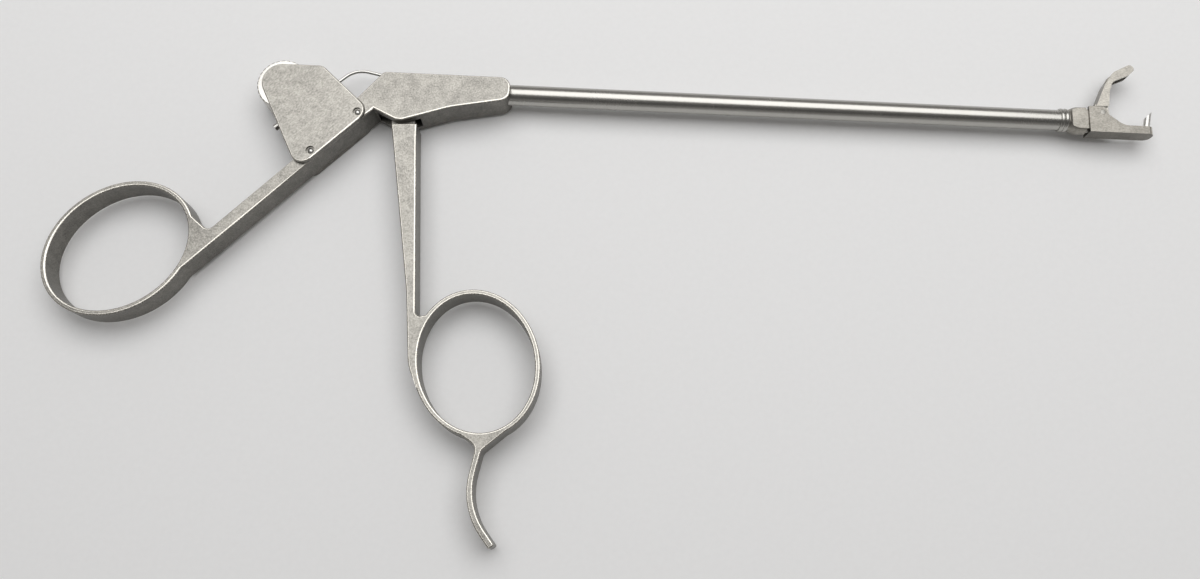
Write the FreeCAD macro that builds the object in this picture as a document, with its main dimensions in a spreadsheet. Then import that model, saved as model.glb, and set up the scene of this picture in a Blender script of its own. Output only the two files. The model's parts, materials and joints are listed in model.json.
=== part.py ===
import FreeCAD, Part
import math
import os
import Sketcher
from FreeCAD import Placement, Rotation, Vector

# Suture punch with a wheel feed, lying on its side, in millimetres.
# The origin is on the shaft's axis where the shaft leaves the handle.
# +X points along the shaft to the jaws, +Y from the finger ring up to the shaft, and +Z out of the flat side.
# It is drawn with the handles apart and the jaws open.

os.makedirs("parts", exist_ok=True)
doc = FreeCAD.newDocument("suture_punch")

# Driving sizes: name, number in millimetres or degrees, and what it is
SIZES = [
    ("shaft_diameter", 4.8, "outside of the shaft"),
    ("shaft_bore", 4.0, "inside of the shaft"),
    ("shaft_reach", 130.0, "from the handle to the end of the shaft"),
    ("shaft_socket", 13.0, "length of the shaft held in the handle"),
    ("body_thickness", 8.0, "slotted part of the handle"),
    ("grip_thickness", 7.0, "rings, arms and feed housing"),
    ("body_top", 2.8, "top of the handle above the axis"),
    ("body_rear", 29.9, "rear top corner behind the nose"),
    ("nose_underside", 2.9, "bottom of the nose below the axis"),
    ("belly_front_x", 13.6, "where the underside starts to drop"),
    ("belly_front_y", 5.6, "depth there"),
    ("belly_x", 25.4, "lowest corner of the belly"),
    ("belly_y", 9.6, "depth there"),
    ("belly_radius", 3.6, "rounding of the belly"),
    ("nose_radius", 2.6, "rounding of the nose"),
    ("crook_x", 31.4, "inner corner of belly and rear arm"),
    ("crook_y", 6.8, "depth there"),
    ("edge_chamfer", 0.35, "bevel along the handles' edges"),
    ("body_chamfer", 0.4, "bevel along the slotted body's edges"),
    ("rear_arm_angle", 46.2, "slope of the rear arm"),
    ("rear_arm_reach", 58.0, "length of the rear arm's lower edge"),
    ("neck_width", 4.5, "rear arm beside the body"),
    ("rear_arm_width", 3.0, "rear arm beside the thumb ring"),
    ("neck_radius", 2.0, "rounding where the rear arm meets the thumb ring"),
    ("thumb_ring_x", 13.956, "centre of the thumb ring behind the end of the rear arm"),
    ("thumb_ring_y", 5.462, "and above that end"),
    ("thumb_ring_length", 33.2, "inside, long way"),
    ("thumb_ring_width", 27.3, "inside, short way"),
    ("thumb_ring_angle", 38.4, "turn of its long way"),
    ("ring_wall", 1.15, "thickness of both rings"),
    ("finger_ring_x", 2.75, "centre of the finger ring behind the nose"),
    ("finger_ring_y", 65.5, "and below the axis"),
    ("finger_ring_length", 31.0, "inside, long way"),
    ("finger_ring_width", 25.5, "inside, short way"),
    ("finger_ring_angle", 106.2, "turn of its long way"),
    ("trigger_arm_rear", 1.0, "rear edge of the front handle's arm behind the trigger pivot"),
    ("trigger_arm_front", 4.9, "front edge of that arm ahead of the trigger pivot"),
    ("trigger_shoulder", 10.1, "top of that arm below the trigger pivot"),
    ("hook_length", 23.41, "finger hook from the finger ring to its tip"),
    ("hook_bow", 5.495, "finger hook's bend to the rear of the ring's foot"),
    ("hook_width", 1.3, "finger hook across its blade"),
    ("trigger_pivot_x", 26.0, "trigger pivot behind the nose"),
    ("trigger_pivot_y", 0.1, "and below the axis"),
    ("trigger_pin_diameter", 2.4, "pivot pin of the trigger"),
    ("trigger_travel", 24.0, "squeeze of the trigger in degrees"),
    ("link_radius", 5.6, "from the trigger pivot to the link pin"),
    ("link_pin_diameter", 1.8, "pin between trigger and rod"),
    ("tongue_thickness", 3.6, "trigger inside the body"),
    ("slot_width", 4.0, "slot in the body for the trigger"),
    ("slot_ceiling", 2.1, "top of that slot above the axis"),
    ("fork_width", 1.7, "gap in the trigger for the rod's end"),
    ("yoke_thickness", 1.4, "flat rear end of the rod"),
    ("rod_diameter", 1.4, "actuating rod"),
    ("running_gap", 0.05, "radial play of pins and shafts"),
    ("retaining_pin_diameter", 1.2, "cross pin that locks the shaft"),
    ("retaining_pin_x", 11.5, "that pin behind the nose"),
    ("wheel_x", 53.5, "feed wheel behind the nose"),
    ("wheel_y", 1.3, "and below the axis"),
    ("wheel_radius", 6.1, "feed wheel"),
    ("wheel_width", 6.6, "feed wheel"),
    ("wheel_axle_diameter", 2.0, "axle of the feed wheel"),
    ("wheel_notches", 30, "notches round the feed wheel"),
    ("notch_depth", 0.3, "depth of a notch"),
    ("idler_radius", 2.4, "pressure roller"),
    ("idler_axle_diameter", 1.5, "axle of the pressure roller"),
    ("thread_gap", 0.4, "room for the thread between wheel and roller"),
    ("feed_angle", 42.2, "slope of the thread past the wheel"),
    ("pocket_gap", 0.35, "room round wheel and roller"),
    ("plate_thickness", 1.2, "side plates of the feed housing"),
    ("plate_wheel_radius", 4.6, "side plate round the wheel's axle"),
    ("plate_top_x", 44.3, "upper front corner of the side plates"),
    ("plate_front_reach", 1.0, "front corner along the rear arm"),
    ("plate_tail_reach", 22.7, "tail corner along the rear arm"),
    ("plate_top_radius", 2.2, "rounding of the upper front corner"),
    ("plate_corner_radius", 2.9, "rounding of the front and tail corners"),
    ("plate_gap", 0.15, "gap between the side plates and the slotted body"),
    ("web_inset", 0.25, "housing web inside the plates' outline"),
    ("rivet_diameter", 1.4, "rivets of the side plates"),
    ("rivet_recess_diameter", 2.1, "recess round a rivet"),
    ("rivet_recess_depth", 0.5, "depth of that recess"),
    ("rivet_sink", 0.1, "end of a rivet below the plate's face"),
    ("rivet_inset", 1.6, "rivets from the arm's lower edge"),
    ("rivet_front_reach", 3.4, "front rivet along the arm"),
    ("rivet_rear_reach", 17.4, "rear rivet along the arm"),
    ("axle_seat_depth", 0.6, "blind seats of the axles in the plates"),
    ("guide_diameter", 0.8, "thread tube"),
    ("guide_bore", 0.5, "inside of the thread tube"),
    ("guide_bore_depth", 3.0, "depth of that bore from each end"),
    ("guide_gap", 0.05, "play of the thread tube in its channel"),
    ("guide_crest_x", 37.6, "top of the thread tube's bow"),
    ("guide_crest_y", 4.9, "and above the axis"),
    ("guide_offset", 1.5, "thread tube from the axis inside the shaft"),
    ("ferrule_diameter", 1.6, "thread inlet"),
    ("ferrule_bore", 0.7, "inside of the thread inlet"),
    ("ferrule_length", 5.2, "thread inlet"),
    ("head_diameter", 6.5, "turned head behind the jaws"),
    ("head_length", 5.3, "from the shaft to the seam"),
    ("seam_width", 0.6, "groove between head and lower jaw"),
    ("jaw_thickness", 4.0, "across the flats of the head and jaws"),
    ("jaw_depth", 3.3, "underside of the lower jaw below the axis"),
    ("ear_height", 3.1, "top of the lower jaw's ears above the axis"),
    ("ear_end", 9.9, "front of the ears past the end of the shaft"),
    ("jaw_deck", 1.4, "top of the lower jaw's arm below the axis"),
    ("jaw_tip", 20.9, "end of the lower jaw past the end of the shaft"),
    ("jaw_slot_width", 2.4, "gap between the ears"),
    ("jaw_slot_floor", 1.6, "bottom of that gap below the axis"),
    ("tenon_length", 2.0, "lower jaw inside the head"),
    ("tenon_height", 4.8, "lower jaw inside the head"),
    ("tenon_width", 3.2, "lower jaw inside the head"),
    ("jaw_pivot_x", 9.1, "jaw pivot past the end of the shaft"),
    ("jaw_pivot_y", 1.7, "and above the axis"),
    ("jaw_pin_diameter", 1.2, "pivot pin of the upper jaw"),
    ("jaw_travel", 66.0, "closing angle of the upper jaw"),
    ("drive_pin_diameter", 1.0, "pin between rod and upper jaw"),
    ("hinge_width", 2.2, "upper jaw between the ears"),
    ("upper_jaw_width", 3.0, "upper jaw above the ears"),
    ("drive_slot_width", 1.2, "gap in the upper jaw for the rod"),
    ("drive_blade_thickness", 1.0, "flat front end of the rod"),
    ("window_width", 1.9, "window of the upper jaw"),
    ("window_inner", 8.7, "window from the pivot, near side"),
    ("window_outer", 12.7, "window from the pivot, far side"),
    ("needle_diameter", 1.5, "hollow needle"),
    ("needle_bore", 0.95, "inside of the needle"),
    ("needle_x", 19.6, "foot of the needle past the end of the shaft"),
    ("needle_height", 3.9, "axis of the needle to this height above the shaft's axis"),
    ("needle_lean", 11.0, "forward lean of the needle"),
    ("needle_bend", 1.5, "bend radius below the needle"),
    ("needle_tail", 1.6, "straight tail inside the lower jaw"),
    ("needle_bevel", 35.0, "angle of the needle's point"),
    ("channel_depth", 2.45, "thread channel of the lower jaw below the axis"),
]

sheet = doc.addObject("Spreadsheet::Sheet", "Sizes")
for row, (alias, number, note) in enumerate(SIZES, start=1):
    sheet.set(f"A{row}", note)
    sheet.set(f"B{row}", str(number))
    sheet.setAlias(f"B{row}", alias)
doc.recompute()


class Size:
    """A number with the expression over the sheet that gives it, so that sketches can be bound to it."""

    def __init__(self, value, text):
        self.value = value
        self.text = text

    def combine(self, other, sign, value):
        return Size(value, f"({self.text} {sign} {as_size(other).text})")

    def __add__(self, other):
        return self.combine(other, "+", self.value + as_size(other).value)

    def __sub__(self, other):
        return self.combine(other, "-", self.value - as_size(other).value)

    def __mul__(self, other):
        return self.combine(other, "*", self.value * as_size(other).value)

    def __truediv__(self, other):
        return self.combine(other, "/", self.value / as_size(other).value)

    def __radd__(self, other):
        return as_size(other) + self

    def __rsub__(self, other):
        return as_size(other) - self

    def __rmul__(self, other):
        return as_size(other) * self

    def __neg__(self):
        return 0 - self

    def __float__(self):
        return float(self.value)


def as_size(number):
    return number if isinstance(number, Size) else Size(float(number), repr(float(number)))


def sine(angle):
    return Size(math.sin(math.radians(angle.value)), f"sin({angle.text} * 1 deg)")


def cosine(angle):
    return Size(math.cos(math.radians(angle.value)), f"cos({angle.text} * 1 deg)")


class SheetSizes:
    """Gives each cell of the sheet by its name."""

    def __getattr__(self, alias):
        return Size(float(sheet.get(alias)), f"Sizes.{alias}")


S = SheetSizes()
ORIGIN = (as_size(0), as_size(0))


def along(start, angle, distance, aside=0):
    """The point at a distance from start in the direction angle, moved aside to the left of it."""
    x = start[0] + cosine(angle) * distance - sine(angle) * aside
    y = start[1] + sine(angle) * distance + cosine(angle) * aside
    return x, y


def flat(point, z=0.0):
    return Vector(float(point[0]), float(point[1]), z)


def new_body(label):
    body = doc.addObject("PartDesign::Body", label)
    body.Label = label
    doc.recompute()
    return body


def new_sketch(body, name, role="XY_Plane"):
    sketch = body.newObject("Sketcher::SketchObject", name)
    origin_plane = [feature for feature in body.Origin.OriginFeatures if feature.Role == role][0]
    sketch.AttachmentSupport = [(origin_plane, "")]
    sketch.MapMode = "FlatFace"
    return sketch


def bind(sketch, constraints):
    """Adds constraints given with their sizes, and ties each size to the sheet."""
    for parts, amount in constraints:
        index = sketch.addConstraint(Sketcher.Constraint(*parts, float(amount)))
        sketch.setExpression(f"Constraints[{index}]", amount.text)


def place_point(geometry, position, point):
    """Constraints that hold a point of the sketch at its coordinates."""
    return [
        (("DistanceX", -1, 1, geometry, position), as_size(point[0])),
        (("DistanceY", -1, 1, geometry, position), as_size(point[1])),
    ]


def draw_circle(sketch, centre, diameter):
    radius = as_size(diameter) / 2
    circle = sketch.addGeometry(Part.Circle(flat(centre), Vector(0, 0, 1), float(radius)), False)
    bind(sketch, place_point(circle, 3, centre) + [(("Radius", circle), radius)])


def draw_oval(sketch, centre, length, width, angle):
    """An ellipse with its full length and width, turned by an angle."""
    along_it = along(centre, angle, length / 2)
    across_it = along(centre, angle, 0, width / 2)
    oval = sketch.addGeometry(Part.Ellipse(flat(along_it), flat(across_it), flat(centre)), False)
    sketch.exposeInternalGeometry(oval)
    long_axis, short_axis = oval + 1, oval + 2
    bind(sketch, place_point(oval, 3, centre))
    bind(sketch, [(("Distance", long_axis), length), (("Distance", short_axis), width)])
    turn = sketch.addConstraint(Sketcher.Constraint("Angle", long_axis, math.radians(angle.value)))
    sketch.setExpression(f"Constraints[{turn}]", f"{angle.text} * 1 deg")


def draw_outline(sketch, corners):
    """A closed outline of straight edges. A corner is x, y or x, y, radius, and its radius rounds it off."""
    points = [flat(corner) for corner in corners]
    radii = [as_size(corner[2]) if len(corner) > 2 else None for corner in corners]
    count = len(corners)
    ways = [(points[(i + 1) % count] - points[i]).normalize() for i in range(count)]
    cuts = []
    for i in range(count):
        turn = ways[i - 1].getAngle(ways[i])
        cuts.append(float(radii[i]) * math.tan(turn / 2) if radii[i] else 0.0)
    for i in range(count):
        start = points[i] + ways[i] * cuts[i]
        end = points[(i + 1) % count] - ways[i] * cuts[(i + 1) % count]
        edge = sketch.addGeometry(Part.LineSegment(start, end), False)
        if i == 0:
            first = edge
    joints = []
    bound = []
    for i, corner in enumerate(corners):
        before = first + (i - 1) % count
        after = first + i
        if radii[i] is None:
            joints.append(Sketcher.Constraint("Coincident", before, 2, after, 1))
            bound += place_point(after, 1, corner)
            continue
        start = points[i] - ways[i - 1] * cuts[i]
        end = points[i] + ways[i] * cuts[i]
        bisector = (ways[i] - ways[i - 1]).normalize()
        turn = ways[i - 1].getAngle(ways[i])
        centre = points[i] + bisector * (float(radii[i]) / math.cos(turn / 2))
        middle = centre - bisector * float(radii[i])
        arc = sketch.addGeometry(Part.Arc(start, middle, end), False)
        turns_left = ways[i - 1].cross(ways[i]).z > 0
        joints.append(Sketcher.Constraint("Tangent", before, 2, arc, 1 if turns_left else 2))
        joints.append(Sketcher.Constraint("Tangent", after, 1, arc, 2 if turns_left else 1))
        apex = sketch.addGeometry(Part.Point(points[i]), True)
        joints.append(Sketcher.Constraint("PointOnObject", apex, 1, before))
        joints.append(Sketcher.Constraint("PointOnObject", apex, 1, after))
        bound += place_point(apex, 1, corner) + [(("Radius", arc), radii[i])]
    sketch.addConstraint(joints)
    bind(sketch, bound)


def draw_box(sketch, low, high):
    draw_outline(sketch, [low, (high[0], low[1]), high, (low[0], high[1])])


def pad(body, sketch, thickness):
    """Material on both sides of the sketch, or along its normal where it isn't in the middle."""
    feature = body.newObject("PartDesign::Pad", sketch.Name + "_pad")
    feature.Profile = sketch
    feature.SideType = "Symmetric"
    feature.setExpression("Length", as_size(thickness).text)
    sketch.Visibility = False
    doc.recompute()
    return feature


def pocket(body, sketch, thickness):
    """Takes material away on both sides of the sketch, and makes sure that some is gone."""
    before = body.Shape.Volume
    feature = body.newObject("PartDesign::Pocket", sketch.Name + "_pocket")
    feature.Profile = sketch
    feature.SideType = "Symmetric"
    feature.setExpression("Length", as_size(thickness).text)
    doc.recompute()
    if not feature.Shape.Volume < before - 1e-6:
        raise ValueError(f"{feature.Name} cut nothing")
    return feature


def turned(body, name, profile):
    """A solid turned about the X axis from an outline of x and radius."""
    sketch = new_sketch(body, name)
    draw_outline(sketch, profile)
    feature = body.newObject("PartDesign::Revolution", name + "_turned")
    feature.Profile = sketch
    feature.ReferenceAxis = (sketch, ["H_Axis"])
    feature.Angle = 360.0
    doc.recompute()
    return feature


def bored(body, name, profile):
    """Material turned away about the X axis."""
    before = body.Shape.Volume
    sketch = new_sketch(body, name)
    draw_outline(sketch, profile)
    feature = body.newObject("PartDesign::Groove", name + "_bored")
    feature.Profile = sketch
    feature.ReferenceAxis = (sketch, ["H_Axis"])
    feature.Angle = 360.0
    doc.recompute()
    if not feature.Shape.Volume < before - 1e-6:
        raise ValueError(f"{feature.Name} cut nothing")
    return feature


def dress(body, kind, keep, name, size):
    """Bevels or rounds the edges of the body's last feature for which keep(edge) is true."""
    base = body.Tip
    names = [f"Edge{i + 1}" for i, edge in enumerate(base.Shape.Edges) if keep(edge)]
    feature = body.newObject("PartDesign::" + kind, body.Name + "_edges")
    feature.Base = (base, names)
    feature.setExpression(name, as_size(size).text)
    doc.recompute()
    return feature


def bevel(body, keep, width):
    return dress(body, "Chamfer", keep, "Size", width)


def round_off(body, keep, radius):
    return dress(body, "Fillet", keep, "Radius", radius)


def pin(label, centre, diameter, length):
    """A straight pin across the flat sides, centred on the middle plane."""
    cylinder = doc.addObject("Part::Cylinder", label)
    cylinder.Label = label
    cylinder.setExpression("Radius", (as_size(diameter) / 2).text)
    cylinder.setExpression("Height", as_size(length).text)
    cylinder.setExpression("Placement.Base.x", as_size(centre[0]).text)
    cylinder.setExpression("Placement.Base.y", as_size(centre[1]).text)
    cylinder.setExpression("Placement.Base.z", (-as_size(length) / 2).text)
    return cylinder


def tube_path(points, radii):
    """A wire of straight runs joined at its inner points by arcs of the given radii, or by a mitre for 0."""
    edges = []
    last = points[0]
    for before, corner, after, radius in zip(points, points[1:], points[2:], radii):
        if radius == 0:
            edges.append(Part.LineSegment(last, corner).toShape())
            last = corner
            continue
        way_in = (corner - before).normalize()
        way_out = (after - corner).normalize()
        turn = way_in.getAngle(way_out)
        cut = radius * math.tan(turn / 2)
        start = corner - way_in * cut
        end = corner + way_out * cut
        bisector = (way_out - way_in).normalize()
        middle = corner + bisector * (radius / math.cos(turn / 2) - radius)
        edges.append(Part.LineSegment(last, start).toShape())
        edges.append(Part.Arc(start, middle, end).toShape())
        last = end
    edges.append(Part.LineSegment(last, points[-1]).toShape())
    return Part.Wire(edges)


def pipe(path, diameter):
    """A round solid along a path."""
    first = path.Edges[0]
    start = first.valueAt(first.FirstParameter)
    way = first.tangentAt(first.FirstParameter)
    ring = Part.Wire(Part.makeCircle(diameter / 2, start, way))
    return path.makePipeShell([ring], True, False, 1)


def feature(label, shape):
    holder = doc.addObject("Part::Feature", label)
    holder.Label = label
    holder.Shape = shape
    return holder


def without(label, base, *tools):
    """The base object less the tools, one cut after the other."""
    doc.recompute()
    result = base
    for number, tool in enumerate(tools, start=1):
        name = label if number == len(tools) else f"{label}_cut_{number}"
        cut = doc.addObject("Part::Cut", name)
        cut.Label = name
        cut.Base = result
        cut.Tool = tool
        cut.Refine = False
        doc.recompute()
        if not cut.Shape.Volume < result.Shape.Volume - 1e-6:
            raise ValueError(f"{name} lost nothing")
        result = cut
    return result


parts = []

# Places that several pieces share
crook = (-S.crook_x, -S.crook_y)
arm_way = S.rear_arm_angle + 180
trigger_pivot = (-S.trigger_pivot_x, -S.trigger_pivot_y)
half_squeeze = S.trigger_travel / 2
link_drop = S.link_radius * cosine(half_squeeze)
link_lead = S.link_radius * sine(half_squeeze)
link = (trigger_pivot[0] + link_lead, trigger_pivot[1] - link_drop)
rod_travel = 2 * link_lead
wheel = (-S.wheel_x, -S.wheel_y)
thread_way = S.feed_angle - 90
idler_distance = S.wheel_radius + S.thread_gap + S.idler_radius
idler = along(wheel, thread_way, idler_distance)
nip = along(wheel, thread_way, S.wheel_radius + S.thread_gap / 2)
jaw_pivot = (S.shaft_reach + S.jaw_pivot_x, S.jaw_pivot_y)
ear_end = S.shaft_reach + S.ear_end
jaw_tip = S.shaft_reach + S.jaw_tip
needle_x = S.shaft_reach + S.needle_x
half_bite = S.jaw_travel / 2
drive_radius = rod_travel / (2 * sine(half_bite))
drive = (jaw_pivot[0] + drive_radius * sine(half_bite), jaw_pivot[1] - drive_radius * cosine(half_bite))
arm_end = along(crook, arm_way, S.rear_arm_reach)
thumb_ring = (arm_end[0] - S.thumb_ring_x, arm_end[1] + S.thumb_ring_y)
finger_ring = (-S.finger_ring_x, -S.finger_ring_y)
plate_span = S.grip_thickness + 2 * S.plate_thickness
retaining_pin = (-S.retaining_pin_x, -(S.shaft_diameter + S.retaining_pin_diameter) / 2 + 0.3)


def rear_arm_point(reach, width=0, *radius):
    """A point along the rear arm's lower edge, counted from the crook, and up from it across the arm."""
    return along(crook, arm_way, reach, -as_size(width)) + radius


def ring_spot(name, bearing, out):
    """A point near a ring's outer face, at a bearing from its long way and so far out from the face."""
    centre, length, width, angle = {
        "thumb": (thumb_ring, S.thumb_ring_length, S.thumb_ring_width, S.thumb_ring_angle),
        "finger": (finger_ring, S.finger_ring_length, S.finger_ring_width, S.finger_ring_angle),
    }[name]
    turn = math.radians(bearing)
    longways = (length / 2 + S.ring_wall + out) * math.cos(turn)
    crossways = (width / 2 + S.ring_wall + out) * math.sin(turn)
    return (
        centre[0] + longways * cosine(angle) - crossways * sine(angle),
        centre[1] + longways * sine(angle) + crossways * cosine(angle),
    )


def plate_corners(inset):
    """The feed housing's outline: round the wheel's axle, and in line with the rear arm below."""
    top = wheel[1] + S.plate_wheel_radius - inset
    tail = rear_arm_point(S.plate_tail_reach - inset, inset)
    front = rear_arm_point(S.plate_front_reach + inset, inset)
    reach = math.hypot(float(wheel[0] - tail[0]), float(wheel[1] - tail[1]))
    radius = S.plate_wheel_radius - inset
    bearing = math.degrees(math.atan2(float(wheel[1] - tail[1]), float(wheel[0] - tail[0])))
    slope = bearing + math.degrees(math.asin(float(radius) / reach))
    wheel_x = tail[0] + (top - tail[1]) / math.tan(math.radians(slope))
    return [
        (wheel_x, top, radius),
        (tail[0], tail[1], S.plate_corner_radius - inset),
        (front[0], front[1], S.plate_corner_radius - inset),
        (-S.plate_top_x - inset / 2, top, S.plate_top_radius - inset),
    ]


rivets = [
    rear_arm_point(S.rivet_front_reach, S.rivet_inset),
    rear_arm_point(S.rivet_rear_reach, S.rivet_inset),
]

# Thread route: from the wheel over the bow, into the body's top, round the rod and down to the lower jaw
guide_start = along(nip, S.feed_angle, 2.4)
beside = float(S.guide_offset) * math.sin(math.radians(60))
above = float(S.guide_offset) * math.cos(math.radians(60))
offset = float(S.guide_offset)
guide_points = [
    flat(guide_start),
    Vector(-float(S.guide_crest_x), float(S.guide_crest_y), 0),
    Vector(-float(S.body_rear) + 2.4, float(S.body_top) + 0.05, 0),
    Vector(-float(S.shaft_socket) - 6.5, float(S.body_top) + 0.05, 0),
    Vector(-float(S.shaft_socket) - 1.5, offset, 0),
    Vector(0, above, beside),
    Vector(8, -above, beside),
    Vector(18, -offset, 0),
    Vector(float(S.shaft_reach), -offset, 0),
    Vector(float(S.shaft_reach) + 3.8, -float(S.channel_depth), 0),
    Vector(float(needle_x - S.needle_bend - S.needle_tail - S.guide_gap), -float(S.channel_depth), 0),
]
guide_radii = [6.0, 12.0, 0, 0, 0, 0, 0, 0, 0]
guide_path = tube_path(guide_points, guide_radii)
needle_way = 90 - S.needle_lean
needle_foot = (needle_x, -S.channel_depth)
needle_rise = (S.needle_height + S.channel_depth) / sine(needle_way)
needle_tip = along(needle_foot, needle_way, needle_rise)
needle_start = (needle_x - S.needle_bend - S.needle_tail, -S.channel_depth)
needle_path = tube_path([flat(needle_start), flat(needle_foot), flat(needle_tip)], [0])
ferrule_path = tube_path([
    flat(along(nip, S.feed_angle, -2.6)),
    flat(along(nip, S.feed_angle, -2.6 - S.ferrule_length)),
], [])


def rear_handle():
    """Thumb ring, rear arm, feed housing web and slotted body in one forging, with its channels."""
    body = new_body("rear_handle_forging")
    arm = new_sketch(body, "rear_arm")
    draw_outline(arm, [
        rear_arm_point(-1.0, 0.6),
        rear_arm_point(-1.0, 4.0),
        rear_arm_point(S.neck_width, S.neck_width),
        rear_arm_point(12.0, S.rear_arm_width + 0.3),
        rear_arm_point(S.rear_arm_reach - 11.5, S.rear_arm_width, 1.5),
        ring_spot("thumb", -8.9, -0.45),
        ring_spot("thumb", -50.0, -6.0),
        rear_arm_point(S.rear_arm_reach, 0.5),
        rear_arm_point(S.rear_arm_reach),
        rear_arm_point(1.0),
    ])
    pad(body, arm, S.grip_thickness)
    ring = new_sketch(body, "thumb_ring_outside")
    outer_length = S.thumb_ring_length + 2 * S.ring_wall
    outer_width = S.thumb_ring_width + 2 * S.ring_wall
    draw_oval(ring, thumb_ring, outer_length, outer_width, S.thumb_ring_angle)
    pad(body, ring, S.grip_thickness)
    hole = new_sketch(body, "thumb_hole")
    draw_oval(hole, thumb_ring, S.thumb_ring_length, S.thumb_ring_width, S.thumb_ring_angle)
    pocket(body, hole, 2 * S.grip_thickness)
    oval = (thumb_ring, outer_length, outer_width, S.thumb_ring_angle)
    round_off(body, lambda edge: is_neck(edge, *oval), S.neck_radius)
    bevel(body, lambda edge: is_rim(edge, S.grip_thickness / 2), S.edge_chamfer)
    web = new_sketch(body, "housing_web")
    draw_outline(web, plate_corners(S.web_inset))
    pad(body, web, S.grip_thickness)
    wheel_room = new_sketch(body, "wheel_room")
    draw_circle(wheel_room, wheel, 2 * (S.wheel_radius + S.pocket_gap))
    pocket(body, wheel_room, 2 * S.grip_thickness)
    idler_room = new_sketch(body, "idler_room")
    draw_circle(idler_room, idler, 2 * (S.idler_radius + S.pocket_gap))
    pocket(body, idler_room, 2 * S.grip_thickness)
    slotted = new_sketch(body, "slotted_body")
    draw_outline(slotted, [
        (as_size(0), S.body_top, S.nose_radius),
        (-S.body_rear, S.body_top, 1.2),
        rear_arm_point(S.neck_width, S.neck_width),
        rear_arm_point(S.neck_width),
        crook,
        (-S.belly_x, -S.belly_y, S.belly_radius),
        (-S.belly_front_x, -S.belly_front_y, 12.0),
        (as_size(0), -S.nose_underside, S.nose_radius),
    ])
    pad(body, slotted, S.body_thickness)
    bevel(body, lambda edge: is_rim(edge, S.body_thickness / 2), S.body_chamfer)
    plate_face = S.grip_thickness / 2 + S.plate_thickness
    for name, side in (("upper_plate_seat", 1), ("lower_plate_seat", -1)):
        seat = new_sketch(body, name)
        seat.setExpression("AttachmentOffset.Base.z", (side * plate_face).text)
        draw_outline(seat, plate_corners(-S.plate_gap))
        pocket(body, seat, 2 * S.plate_thickness)
    slot = new_sketch(body, "trigger_slot")
    draw_outline(slot, [
        (-S.belly_x + 7.7, S.slot_ceiling),
        (-S.trigger_pivot_x - 2.9, S.slot_ceiling),
        (-S.crook_x + 0.7, -S.crook_y - 0.3),
        (-S.crook_x + 0.7, -S.belly_y - 2),
        (-S.belly_x + 4.7, -S.belly_y - 2),
        (-S.belly_x + 4.7, -S.belly_y + 1.4),
        (-S.belly_x + 7.7, as_size(-2.2)),
    ])
    pocket(body, slot, S.slot_width)
    for name, centre, diameter in (
        ("pivot_hole", trigger_pivot, S.trigger_pin_diameter),
        ("retaining_hole", retaining_pin, S.retaining_pin_diameter),
        ("front_rivet_hole", rivets[0], S.rivet_diameter),
        ("rear_rivet_hole", rivets[1], S.rivet_diameter),
    ):
        drilled = new_sketch(body, name)
        draw_circle(drilled, centre, diameter)
        pocket(body, drilled, 2 * S.body_thickness)
    bored(body, "shaft_seat", [
        (as_size(1), as_size(0)),
        (as_size(1), S.shaft_diameter / 2),
        (-S.shaft_socket, S.shaft_diameter / 2),
        (-S.shaft_socket, S.shaft_bore / 2),
        (-S.belly_x + 7.2, S.shaft_bore / 2),
        (-S.belly_x + 7.2, as_size(0)),
    ])
    guide_channel = feature("guide_channel", pipe(guide_path, float(S.guide_diameter + 2 * S.guide_gap)))
    ferrule_channel = feature("ferrule_channel", pipe(ferrule_path, float(S.ferrule_diameter)))
    return without("rear_handle", body, guide_channel, ferrule_channel)


def is_rim(edge, height):
    """True for an edge that lies wholly at the height, above or below the middle plane."""
    box = edge.BoundBox
    return box.ZLength < 1e-4 and abs(abs(box.ZMax) - float(height)) < 1e-4


def is_neck(edge, centre, length, width, angle):
    """True for an upright edge on a ring's outside, where an arm meets it."""
    box = edge.BoundBox
    if box.ZLength < 1 or box.XLength > 1e-3 or not len(edge.Vertexes) == 2:
        return False
    turn = math.radians(float(angle))
    x, y = edge.Vertexes[0].X - float(centre[0]), edge.Vertexes[0].Y - float(centre[1])
    lengthwise = (x * math.cos(turn) + y * math.sin(turn)) / float(length)
    crosswise = (y * math.cos(turn) - x * math.sin(turn)) / float(width)
    seam = abs(crosswise) < 1e-4
    return abs(math.hypot(lengthwise, crosswise) - 0.5) < 1e-4 and not seam


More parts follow.
